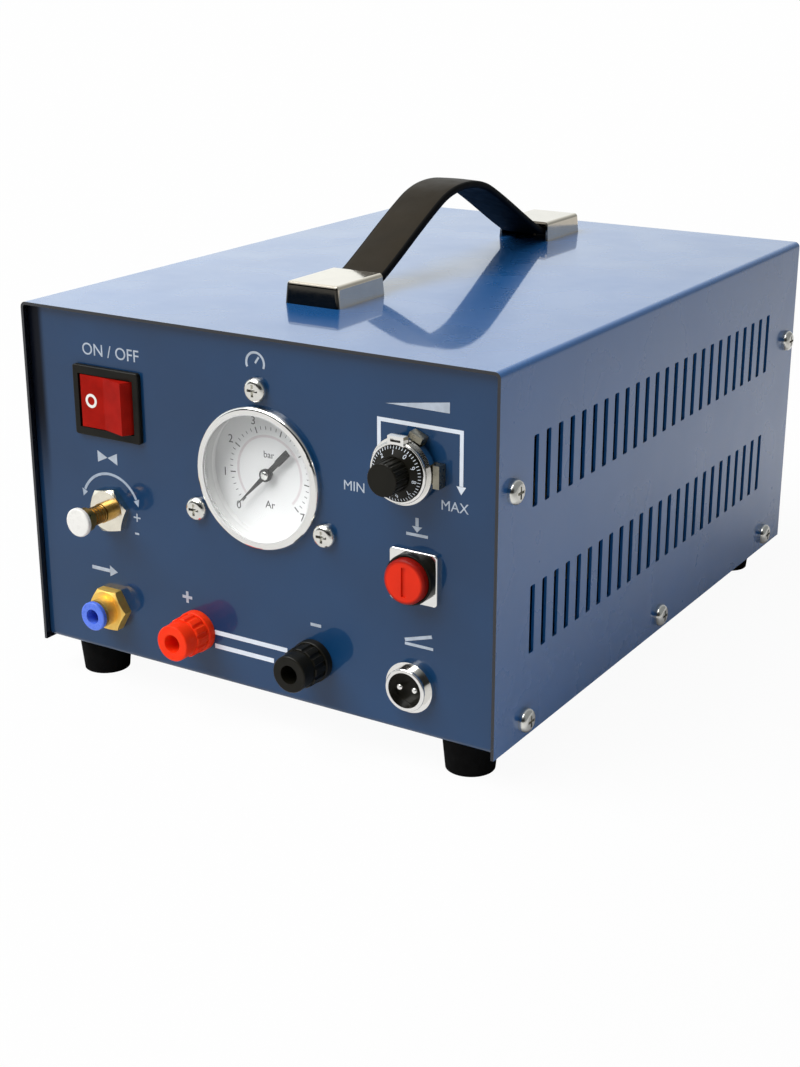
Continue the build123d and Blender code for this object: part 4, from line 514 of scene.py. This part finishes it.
# %% Finishes inside the case
CORE_PLATE = 6 * MM
CORE_EDGE = 0.05 * MM
core_steel = finish("core_varnish", (0.045, 0.042, 0.040), 0.42, patch=15 * MM, drift=0.2, metallic=0.6)
core_tree = core_steel.node_tree
core_plates = add_node(core_tree, "ShaderNodeTexWave", {"Vector": place_on(core_tree), "Scale": 1 / CORE_PLATE},
                       bands_direction="Y")
core_bump = add_node(core_tree, "ShaderNodeBump", {"Height": core_plates.outputs["Fac"], "Distance": CORE_EDGE})
core_tree.links.new(core_bump.outputs["Normal"], core_tree.nodes["Principled BSDF"].inputs["Normal"])
winding = finish("winding_tape", (0.55, 0.33, 0.03), 0.5, patch=10 * MM, drift=0.15, relief=0.01 * MM)
board_green = finish("board_mask", (0.006, 0.060, 0.022), 0.35, patch=5 * MM, drift=0.35, relief=0.006 * MM)
can_sleeve = finish("capacitor_sleeve", (0.010, 0.013, 0.040), 0.3, patch=12 * MM, drift=0.15)
hose_milky = finish("milky_hose", (0.52, 0.56, 0.58), 0.35, patch=10 * MM, drift=0.06)
dress(core_steel, "transformer_core")
dress(winding, "transformer_coil")
dress(board_green, "control_board")
dress(can_sleeve, "capacitors")
dress(hose_milky, "gas_hoses")
print("nodes still undressed:", sorted(set(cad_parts) - dressed))

# %% [markdown]
# The strap, the print and the small added pieces are closed solids, each built as faces in a bmesh.
# One helper welds the seams, points all faces outwards, counts edges that are left open, and hands the object
# to the body it rides on. An open edge count of 0 means that the solid is watertight.

# %% From a bmesh to a piece that rides on a body
WELD = 0.002 * MM


def piece(name, bm, body, slot, *materials):
    """Close the mesh, dress it, and let it ride on a body."""
    bmesh.ops.remove_doubles(bm, verts=bm.verts, dist=WELD)
    bmesh.ops.recalc_face_normals(bm, faces=bm.faces)
    open_edges = sum(1 for edge in bm.edges if len(edge.link_faces) != 2)
    mesh = bpy.data.meshes.new(name)
    bm.to_mesh(mesh)
    bm.free()
    for material in materials:
        mesh.materials.append(material)
    made = bpy.data.objects.new(name, mesh)
    bpy.context.scene.collection.objects.link(made)
    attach(made, body)
    print(name, "on", body, "with", len(mesh.polygons), "faces and", open_edges, "open edges")
    return made


def at_turn(centre, radius, turn):
    """The point at a turn about a centre, in degrees from +X."""
    return centre + radius * Vector((cos(radians(turn)), sin(radians(turn))))


def around(centre, radius, start, end, count):
    """Points on an arc, from one turn to another."""
    return [at_turn(centre, radius, start + (end - start) * step / (count - 1)) for step in range(count)]


print("helpers ready: piece, at_turn and around")

# %% [markdown]
# The handle is a flat strap of leather-like plastic with a springy core. Both ends lie flat under plated caps,
# and the middle bows up into a grip. Its CAD stand-in has hard edges and arcs that meet straight runs.
# Here the strap follows one smooth spline with a listed control point wherever it changes its mind.
# Only one half is listed, because the strap is the same towards the front and the rear.

# %% The strap's route
STRAP_FLAT = 161.5
STRAP_HALF = [(12, 192.4), (30, 184.2), (64, 165.4), (74, STRAP_FLAT), (88, STRAP_FLAT)]
strap_low, strap_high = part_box("handle_strap")
strap_middle = (strap_low + strap_high) / 2
strap_half = STRAP_HALF + [((strap_high.y - strap_low.y) / 2 / MM, STRAP_FLAT)]
strap_points = [(-along, up) for along, up in reversed(strap_half)] + strap_half

route = bpy.data.curves.new("strap_route", "CURVE")
route.dimensions = "3D"
spline = route.splines.new("NURBS")
spline.points.add(len(strap_points) - 1)
for point, (along, up) in zip(spline.points, strap_points):
    point.co = (strap_middle.x, strap_middle.y + along * MM, up * MM, 1)
spline.order_u = 3
spline.use_endpoint_u = True
spline.resolution_u = 8
route_holder = bpy.data.objects.new("strap_route", route)
bpy.context.scene.collection.objects.link(route_holder)
route_mesh = bpy.data.meshes.new_from_object(route_holder.evaluated_get(bpy.context.evaluated_depsgraph_get()))
stations = [vertex.co.copy() for vertex in route_mesh.vertices]
bpy.data.objects.remove(route_holder)
bpy.data.curves.remove(route)
strap_length = sum((after - before).length for before, after in zip(stations, stations[1:]))
print("strap", round(strap_length / MM, 1), "mm long over", len(stations), "stations")

# %% [markdown]
# The strap's section has soft corners and is a little fuller on its upper face, as padding under a skin is.
# It is drawn once as a ring of points. The ring's first corner is followed by the crowned upper face.

# %% The strap's section
STRAP_HALF_WIDTH = 10.5 * MM
STRAP_HALF_THICK = 1.6 * MM
STRAP_CORNER = 1.2 * MM
STRAP_CROWN = 0.25 * MM
CORNER_STEPS = 4
FACE_STEPS = 8

section = []
for corner_turn, side_x, side_z in ((0, 1, 1), (90, -1, 1), (180, -1, -1), (270, 1, -1)):
    middle = Vector((side_x * (STRAP_HALF_WIDTH - STRAP_CORNER), side_z * (STRAP_HALF_THICK - STRAP_CORNER)))
    section += around(middle, STRAP_CORNER, corner_turn, corner_turn + 90, CORNER_STEPS + 1)
    if corner_turn == 0:
        start, end = section[-1], Vector((-section[-1].x, section[-1].y))
        shares = [step / FACE_STEPS for step in range(1, FACE_STEPS)]
        section += [start.lerp(end, share) + Vector((0, STRAP_CROWN * sin(pi * share))) for share in shares]
upper_steps = range(CORNER_STEPS, CORNER_STEPS + FACE_STEPS)
print("strap section has", len(section), "points")

# %% [markdown]
# The body of the strap is the section set up at every station of the route, square to the way ahead,
# with faces between neighbouring rings. The faces over the crowned part take the first material, all others the second.

# %% The strap's body
strap_bm = bmesh.new()
rings = []
for index, station in enumerate(stations):
    before = stations[max(index - 1, 0)]
    after = stations[min(index + 1, len(stations) - 1)]
    lift = Vector((1, 0, 0)).cross((after - before).normalized())
    rings.append([strap_bm.verts.new(station + Vector((1, 0, 0)) * p.x + lift * p.y) for p in section])
for near, far in zip(rings, rings[1:]):
    for step in range(len(section)):
        after = (step + 1) % len(section)
        face = strap_bm.faces.new((near[step], near[after], far[after], far[step]))
        face.smooth = True
        face.material_index = 0 if step in upper_steps else 1
for end_ring in (rings[0], rings[-1]):
    strap_bm.faces.new(end_ring).material_index = 1
print("strap body has", len(strap_bm.faces), "faces")

# %% [markdown]
# The upper face of the strap has a satin brown-black skin with a fine pebbled grain; its edges and underside are
# plain black. Voronoi cells make the pebbles: the distance to a cell's edge is low in the creases between them.

# %% The strap's finishes
PEBBLE = 1.1 * MM
PEBBLE_RELIEF = 0.05 * MM
strap_skin = finish("strap_skin", (0.019, 0.0135, 0.0065), 0.48, patch=18 * MM, drift=0.18, swing=0.06,
                    sockets={"Specular IOR Level": 0.1})
skin_tree = strap_skin.node_tree
pebbles = add_node(skin_tree, "ShaderNodeTexVoronoi", {"Vector": place_on(skin_tree), "Scale": 1 / PEBBLE},
                   feature="DISTANCE_TO_EDGE")
pebble_bump = add_node(skin_tree, "ShaderNodeBump", {"Height": pebbles.outputs["Distance"],
                                                     "Distance": PEBBLE_RELIEF, "Strength": 0.6})
skin_tree.links.new(pebble_bump.outputs["Normal"], skin_tree.nodes["Principled BSDF"].inputs["Normal"])
strap_edge = finish("strap_edge", (0.003, 0.003, 0.003), 0.6, patch=10 * MM, drift=0.2, relief=0.01 * MM,
                    sockets={"Specular IOR Level": 0.08})
strap = piece("strap", strap_bm, "case", "strap", strap_skin, strap_edge)
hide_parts("handle_strap")

# %% [markdown]
# Each cap has a boss inside, and the strap's ends are pierced for it. The holes are cut with a boolean against two
# plain pegs, and the result is read back, so that no modifier and no peg stays in the scene.

# %% Pierce the strap's ends
BOSS_HOLE = 4.3 * MM
BOSS_INSET = 11 * MM
PEG_STEPS = 40
peg_bm = bmesh.new()
for peg_y in (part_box("handle_cap_front")[0].y + BOSS_INSET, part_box("handle_cap_rear")[1].y - BOSS_INSET):
    place = Matrix.Translation((strap_middle.x, peg_y, STRAP_FLAT * MM))
    bmesh.ops.create_cone(peg_bm, cap_ends=True, segments=PEG_STEPS, radius1=BOSS_HOLE, radius2=BOSS_HOLE,
                          depth=8 * STRAP_HALF_THICK, matrix=place)
peg_mesh = bpy.data.meshes.new("boss_pegs")
peg_bm.to_mesh(peg_mesh)
peg_bm.free()
pegs = bpy.data.objects.new("boss_pegs", peg_mesh)
bpy.context.scene.collection.objects.link(pegs)
cut = strap.modifiers.new("boss_holes", "BOOLEAN")
cut.operation = "DIFFERENCE"
cut.solver = "EXACT"
cut.object = pegs
pierced = bpy.data.meshes.new_from_object(strap.evaluated_get(bpy.context.evaluated_depsgraph_get()))
strap.modifiers.clear()
strap.data = pierced
bpy.data.objects.remove(pegs)
print("strap pierced:", len(pierced.polygons), "faces")

# %% [markdown]
# The panel's print is white ink, laid on by screen. Ink has a thickness of its own, so each mark is a solid that
# stands six hundredths of a millimetre proud. A place on the panel is given as across, up and out: out is how far it
# stands in front of the painted face. The simplest mark is a band between two rows of points, with each row once at
# the panel and once on top of the ink.

# %% Ink, and a builder for bands
INK_LOW = -0.02 * MM
INK_HIGH = 0.06 * MM
white_ink = finish("white_ink", (0.72, 0.78, 0.86), 0.5, patch=6 * MM, drift=0.05)


def on_panel(across, up, out):
    """A point in front of the panel's painted face."""
    return Vector((across, panel_y - out, up))


def add_band(bm, left, right, low, high, closed=False):
    """A flat band between two rows of points, from low to high in front of the panel."""
    rows = [[bm.verts.new(on_panel(p.x, p.y, out)) for p in line] for line, out in
            ((left, low), (right, low), (right, high), (left, high))]
    count = len(left)
    for step in range(count if closed else count - 1):
        after = (step + 1) % count
        for side in range(4):
            near, far = rows[side], rows[(side + 1) % 4]
            bm.faces.new((near[step], near[after], far[after], far[step]))
    if not closed:
        bm.faces.new([row[0] for row in rows])
        bm.faces.new([row[-1] for row in rows])


print("ink is", round((INK_HIGH - INK_LOW) / MM, 2), "mm thick")

# %% [markdown]
# A printed line is a band with mitred corners: at each point it spreads along the line that halves the corner.
# Any other mark is a prism: an outline at the panel, the same outline on top, and walls between them.

# %% Builders for lines and prisms
def add_line(bm, points, width, low=INK_LOW, high=INK_HIGH):
    """A line of even width through the points, with mitred corners."""
    left, right = [], []
    for index, point in enumerate(points):
        ahead = (points[index + 1] - point).normalized() if index + 1 < len(points) else None
        back = (point - points[index - 1]).normalized() if index else ahead
        ahead = ahead or back
        along = (back + ahead).normalized()
        side = Vector((-along.y, along.x))
        reach = width / 2 / side.dot(Vector((-ahead.y, ahead.x)))
        left.append(point + side * reach)
        right.append(point - side * reach)
    add_band(bm, left, right, low, high)


def add_prism(bm, outline, low=INK_LOW, high=INK_HIGH):
    """A flat closed piece with any outline."""
    back = [bm.verts.new(on_panel(p.x, p.y, low)) for p in outline]
    face = [bm.verts.new(on_panel(p.x, p.y, high)) for p in outline]
    bm.faces.new(back)
    bm.faces.new(face)
    for step in range(len(outline)):
        after = (step + 1) % len(outline)
        bm.faces.new((back[step], back[after], face[after], face[step]))


def beside(centre, *places):
    """Places given in millimetres from a centre."""
    return [centre + Vector(place) * MM for place in places]


print("helpers ready: add_line, add_prism and beside")

# %% [markdown]
# A bent arrow over the current dial shows the way from low to high. It is one line through four points, and its head
# is a prism with three corners.

# %% The arrow over the current dial
ARROW_WIDTH = 1.5 * MM
ARROW_ROUTE = [(-11.9, -0.2), (-11.9, 16.3), (21.9, 16.3), (21.9, -3.2)]
ARROW_HEAD = [(-1.9, -0.1), (1.9, -0.1), (0, -3.1)]
dial_axis = axis_of("current_knob")
arrow_bm = bmesh.new()
arrow_route = beside(dial_axis, *ARROW_ROUTE)
add_line(arrow_bm, arrow_route, ARROW_WIDTH)
add_prism(arrow_bm, beside(arrow_route[-1], *ARROW_HEAD))
piece("print_current_arrow", arrow_bm, "case", "dial_white", white_ink)

# %% [markdown]
# Over the gas valve, an arc with a point at each end says that its cap turns both ways. The arc is a line through
# many close points. Each arrow point has its heels just past the arc's end and its tip a few degrees farther on.

# %% The arc over the valve
ARC_RADIUS = 14.6 * MM
ARC_WIDTH = 1.1 * MM
ARC_START, ARC_END = 155, 25
ARC_STEPS = 36
POINT_TURN = 12
POINT_HALF = 1.5 * MM
valve_axis = axis_of("valve_cap")
arc_ink = finish("greyer_ink", (0.36, 0.43, 0.53), 0.5, patch=3 * MM, drift=0.12)
arc_bm = bmesh.new()
add_line(arc_bm, around(valve_axis, ARC_RADIUS, ARC_START, ARC_END, ARC_STEPS), ARC_WIDTH)
for turn, way in ((ARC_START, 1), (ARC_END, -1)):
    heels = [at_turn(valve_axis, ARC_RADIUS + side * POINT_HALF, turn + way) for side in (-1, 1)]
    add_prism(arc_bm, heels + [at_turn(valve_axis, ARC_RADIUS, turn + POINT_TURN * way)])
piece("print_valve_arc", arc_bm, "case", "dial_white", arc_ink)

# %% [markdown]
# Two straight lines run from the red output post to the black one. Each is listed by its height and by where it
# starts and ends, in millimetres from the axes of the two posts, so it would follow if the posts were moved.

# %% The lines between the posts
LINK_WIDTH = 1.9 * MM
LINKS = [(1.0, 8.2, -12.3), (-4.8, 8.2, -18.8)]
red_axis, black_axis = axis_of("red_post_base"), axis_of("black_post_base")
link_bm = bmesh.new()
for up, start, end in LINKS:
    add_line(link_bm, beside(red_axis, (start, up)) + beside(black_axis, (end, up)), LINK_WIDTH)
piece("print_post_lines", link_bm, "case", "dial_white", white_ink)

# %% [markdown]
# A few plain words and numbers are needed, and Blender's own font serves for them. A text object is turned into a
# mesh, scaled to the letter height that is wanted, and set down on a place: a matrix whose axes run along, up and out.
# It is extruded by a half to each side, so its thickness is 1 and scales to whatever is asked for.

# %% A builder for lettering
def add_words(bm, words, height, thickness, place):
    """Numbers or plain words as solids, centred on a place."""
    text = bpy.data.curves.new("words", "FONT")
    text.body = words
    text.resolution_u = 4
    text.extrude = 0.5
    carrier = bpy.data.objects.new("words", text)
    bpy.context.scene.collection.objects.link(carrier)
    letters = bpy.data.meshes.new_from_object(carrier.evaluated_get(bpy.context.evaluated_depsgraph_get()))
    spreads = [vertex.co.x for vertex in letters.vertices]
    rises = [vertex.co.y for vertex in letters.vertices]
    size = height / (max(rises) - min(rises))
    middle = Vector(((max(spreads) + min(spreads)) / 2, (max(rises) + min(rises)) / 2, 0))
    letters.transform(place @ Matrix.Diagonal((size, size, thickness, 1)) @ Matrix.Translation(-middle))
    bm.from_mesh(letters)
    bpy.data.objects.remove(carrier)
    bpy.data.meshes.remove(letters)
    bpy.data.curves.remove(text)


def flat_place(centre, low, high):
    """The place for words that lie flat in front of the panel."""
    return Matrix.Translation(on_panel(centre.x, centre.y, (low + high) / 2)) @ Matrix.Rotation(radians(90), 4, "X")


print("helpers ready: add_words and flat_place")

# %% [markdown]
# The words say what a hand needs to know: on and off, least and most, plus and minus. They are listed with their
# height and place in millimetres, and one loop sets them. Fine strokes take less ink from the screen than broad
# lines, so the words are a greyer white.

# %% The words on the panel
thin_ink = finish("thin_white_ink", (0.44, 0.50, 0.58), 0.5, patch=3 * MM, drift=0.12)
PANEL_WORDS = [("ON / OFF", 4.8, -65, 128.3), ("MIN", 3.6, 47.4, 93.2), ("MAX", 3.6, 89.5, 92.8),
               ("+", 3.4, -55.8, 62.4), ("-", 0.8, -56.2, 55.6)]
cover_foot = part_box("top_cover")[0].z
panel_origin = Vector((0, cover_foot))
words_bm = bmesh.new()
for words, height, across, up in PANEL_WORDS:
    centre = beside(panel_origin, (across, up))[0]
    add_words(words_bm, words, height * MM, INK_HIGH - INK_LOW, flat_place(centre, INK_LOW, INK_HIGH))
piece("print_words", words_bm, "case", "dial_white", thin_ink)

# %% [markdown]
# Each fitting has a sign over it that needs no language: a small gauge, a rising wedge for more current, the two
# triangles that stand for a valve, an arrow for gas that leaves, plus and minus for the posts, a pressed button and
# a foot pedal. They are drawn from prisms and lines only, and pieces that would touch are kept a hair apart.

# %% The signs over the fittings
signs_bm = bmesh.new()
gauge_sign, wedge_sign, valve_sign, outlet_sign, plus_sign, minus_sign, button_sign, pedal_sign = beside(
    panel_origin, (4.5, 133.2), (74, 128), (-69.5, 85), (-74, 36.8), (-32, 33.6), (29.5, 35.1), (74, 82.6), (75, 39.2))
add_line(signs_bm, around(gauge_sign, 4.0 * MM, 205, -25, 24), 0.9 * MM)
add_line(signs_bm, beside(gauge_sign, (0, 0), (1.7, 2.4)), 0.8 * MM)
add_prism(signs_bm, beside(wedge_sign, (-13, -1.7), (13, -1.7), (13, 2.2)))
add_prism(signs_bm, beside(valve_sign, (-5, 2.4), (-5, -2.4), (-0.1, 0)))
add_prism(signs_bm, beside(valve_sign, (5, -2.4), (5, 2.4), (0.1, 0)))
add_line(signs_bm, beside(outlet_sign, (-7, 0), (2.4, 0)), 1.5 * MM)
add_prism(signs_bm, beside(outlet_sign, (2.5, 2.3), (2.5, -2.3), (6.5, 0)))
plus_arm = [(-2.4, 0.6), (-2.4, -0.6), (-0.6, -0.6), (-0.6, -2.4), (0.6, -2.4), (0.6, -0.6)]
add_prism(signs_bm, beside(plus_sign, *plus_arm, *[(-across, -up) for across, up in plus_arm]))
add_line(signs_bm, beside(minus_sign, (-2.4, 0), (2.4, 0)), 1.2 * MM)
add_line(signs_bm, beside(button_sign, (0, 3.4), (0, 0.2)), 1.3 * MM)
add_prism(signs_bm, beside(button_sign, (-2.1, 0.1), (2.1, 0.1), (0, -2.1)))
add_line(signs_bm, beside(button_sign, (-4.5, -3.1), (4.5, -3.1)), 1.1 * MM)
add_line(signs_bm, beside(pedal_sign, (-6, -2.4), (6, -2.4)), 1.1 * MM)
add_line(signs_bm, beside(pedal_sign, (-6, -1.0), (5.4, 2.4)), 1.3 * MM)
piece("print_signs", signs_bm, "case", "dial_white", thin_ink)

# %% [markdown]
# The gauge's dial carries a scale of ticks and the numbers 0 to 7, three quarters of a turn from lower left to lower
# right, with the unit and the sign for argon. The ticks run in a loop, and every fifth one is longer.

# %% The gauge's scale
GAUGE_ZERO = 225.0
GAUGE_SWEEP = 270.0
GAUGE_TOP = 7
TICKS_BETWEEN = 5
SCALE_RADIUS = 18.4 * MM
NUMBER_RADIUS = 21.0 * MM
NUMBER_HEIGHT = 3.2 * MM
LONG_TICK = (2.4 * MM, 0.45 * MM)
SHORT_TICK = (1.3 * MM, 0.24 * MM)
DIAL_WORDS = [("bar", 2.6, 7.4), ("Ar", 2.9, -12.3)]
SCALE_SINK = 0.02 * MM
SCALE_RISE = 0.05 * MM
dial_out = panel_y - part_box("gauge_dial")[0].y
scale_low = dial_out - SCALE_SINK
scale_high = dial_out + SCALE_RISE
dial_ink = finish("dial_ink", (0.05, 0.05, 0.055), 0.5, patch=4 * MM, drift=0.2)

scale_bm = bmesh.new()
for step in range(GAUGE_TOP * TICKS_BETWEEN + 1):
    length, width = LONG_TICK if step % TICKS_BETWEEN == 0 else SHORT_TICK
    turn = GAUGE_ZERO - GAUGE_SWEEP * step / (GAUGE_TOP * TICKS_BETWEEN)
    tick = [at_turn(gauge_axis, radius, turn) for radius in (SCALE_RADIUS - length, SCALE_RADIUS)]
    add_line(scale_bm, tick, width, scale_low, scale_high)
for number in range(GAUGE_TOP + 1):
    turn = GAUGE_ZERO - GAUGE_SWEEP * number / GAUGE_TOP
    spot = at_turn(gauge_axis, NUMBER_RADIUS, turn)
    add_words(scale_bm, str(number), NUMBER_HEIGHT, scale_high - scale_low, flat_place(spot, scale_low, scale_high))
for words, height, up in DIAL_WORDS:
    spot = beside(gauge_axis, (0, up))[0]
    add_words(scale_bm, words, height * MM, scale_high - scale_low, flat_place(spot, scale_low, scale_high))
piece("gauge_scale", scale_bm, "case", "gauge_black", dial_ink)

# %% [markdown]
# A faint band lies inside the ticks and follows them from the first to the last. It is one more line through many
# points, in a pale ink of its own.

# %% The band on the dial
BAND_RADIUS = 14.6 * MM
BAND_WIDTH = 1.0 * MM
BAND_STEPS = 72
dial_band = finish("dial_band_ink", (0.66, 0.61, 0.62), 0.5, patch=4 * MM, drift=0.05)
band_bm = bmesh.new()
band_route = around(gauge_axis, BAND_RADIUS, GAUGE_ZERO, GAUGE_ZERO - GAUGE_SWEEP, BAND_STEPS)
add_line(band_bm, band_route, BAND_WIDTH, scale_low, scale_high)
piece("gauge_band", band_bm, "case", "dial_white", dial_band)

# %% [markdown]
# The needle is pressed on its spindle under a small bright cap. The cap is a turned form: a profile of radius and
# height, carried round the axis, with a short wall and a dome.

# %% The needle's cap
HUB_RADIUS = 1.7 * MM
HUB_WALL = 0.2 * MM
HUB_DOME = 0.7 * MM
HUB_SINK = 0.05 * MM
HUB_STEPS = 40


def add_turned(bm, centre, profile):
    """A turned form about an axis square to the panel; the profile is (radius, out) and ends on the axis."""
    rows = []
    for radius, out in profile:
        spots = [centre] if radius == 0 else around(centre, radius, 0, 360 - 360 / HUB_STEPS, HUB_STEPS)
        rows.append([bm.verts.new(on_panel(p.x, p.y, out)) for p in spots])
    for near, far in zip(rows, rows[1:]):
        for step in range(HUB_STEPS):
            after = (step + 1) % HUB_STEPS
            ends = [near[step % len(near)], near[after % len(near)], far[after % len(far)], far[step % len(far)]]
            bm.faces.new(list(dict.fromkeys(ends)))


hub_out = panel_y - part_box("gauge_pointer")[0].y
hub_low = hub_out - HUB_SINK
hub_top = hub_out + HUB_WALL
dome = [(HUB_RADIUS * cos(radians(turn)), hub_top + HUB_DOME * sin(radians(turn))) for turn in range(0, 90, 15)]
hub_bm = bmesh.new()
add_turned(hub_bm, gauge_axis, [(0, hub_low), (HUB_RADIUS, hub_low)] + dome + [(0, hub_top + HUB_DOME)])
piece("needle_cap", hub_bm, "needle", "chrome", chrome)

# %% [markdown]
# The black knob of the current dial has a sloping skirt with white graduations and the numbers 0 to 9, read at the
# window on top of its ring. The numbers grow against the clock, so that turning the knob clockwise raises the reading.
# Ticks and numbers lie on the slope: their place leans with the cone, and their top points away from the axis.

# %% The knob's graduations
SKIRT_OUT = 7.4 * MM
CONE_RADIUS = 6.6 * MM
CONE_OUT = 9.2 * MM
GRADUATIONS = 50
GRADUATION = (0.24 * MM, 1.1 * MM)
GRADUATION_RADIUS = 9.6 * MM
DIGITS = 10
DIGIT_RADIUS = 8.0 * MM
DIGIT_HEIGHT = 1.7 * MM
FIRST_NUMBER = 60.0
KNOB_INK = 0.1 * MM
knob_low, knob_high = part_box("current_knob")
skirt_radius = (knob_high.x - knob_low.x) / 2
skirt_slope = (CONE_OUT - SKIRT_OUT) / (skirt_radius - CONE_RADIUS)


def skirt_place(turn, radius):
    """The place for a mark on the knob's sloping skirt."""
    spoke = Vector((cos(radians(turn)), 0, sin(radians(turn))))
    along = Vector((spoke.z, 0, -spoke.x))
    up = (spoke + Vector((0, skirt_slope, 0))).normalized()
    axes = Matrix((along, up, along.cross(up))).transposed().to_4x4()
    out = SKIRT_OUT + (skirt_radius - radius) * skirt_slope
    return Matrix.Translation(on_panel(dial_axis.x, dial_axis.y, out) + spoke * radius) @ axes


knob_bm = bmesh.new()
bar = Matrix.Diagonal((*GRADUATION, KNOB_INK, 1))
for step in range(GRADUATIONS):
    place = skirt_place(FIRST_NUMBER + step * 360 / GRADUATIONS, GRADUATION_RADIUS)
    bmesh.ops.create_cube(knob_bm, size=1, matrix=place @ bar)
for number in range(DIGITS):
    place = skirt_place(FIRST_NUMBER + number * 360 / DIGITS, DIGIT_RADIUS)
    add_words(knob_bm, str(number), DIGIT_HEIGHT, KNOB_INK, place)
piece("knob_graduations", knob_bm, "current_control", "white_plastic", white_ink)

# %% [markdown]
# The rocker is moulded with a white ring on its off half. At rest that half is flush and parallel to the panel,
# so the ring is a flat band whose two rows of points close on themselves, let a little way into the plastic.

# %% The rocker's mark
MARK_PLACE = (-7.2, 0.4)
MARK_RADIUS = 2.3 * MM
MARK_WIDTH = 1.1 * MM
MARK_STEPS = 32
MARK_SINK = 0.05 * MM
MARK_RISE = 0.1 * MM
ROCKER_OUT = 2.15 * MM
mark_centre = beside(axis_of("switch_housing"), MARK_PLACE)[0]
inner, outer = (around(mark_centre, MARK_RADIUS + side * MARK_WIDTH / 2, 0, 360 - 360 / MARK_STEPS, MARK_STEPS)
                for side in (-1, 1))
mark_bm = bmesh.new()
add_band(mark_bm, inner, outer, ROCKER_OUT - MARK_SINK, ROCKER_OUT + MARK_RISE, closed=True)
piece("rocker_mark", mark_bm, "rocker", "white_plastic", white_plastic)
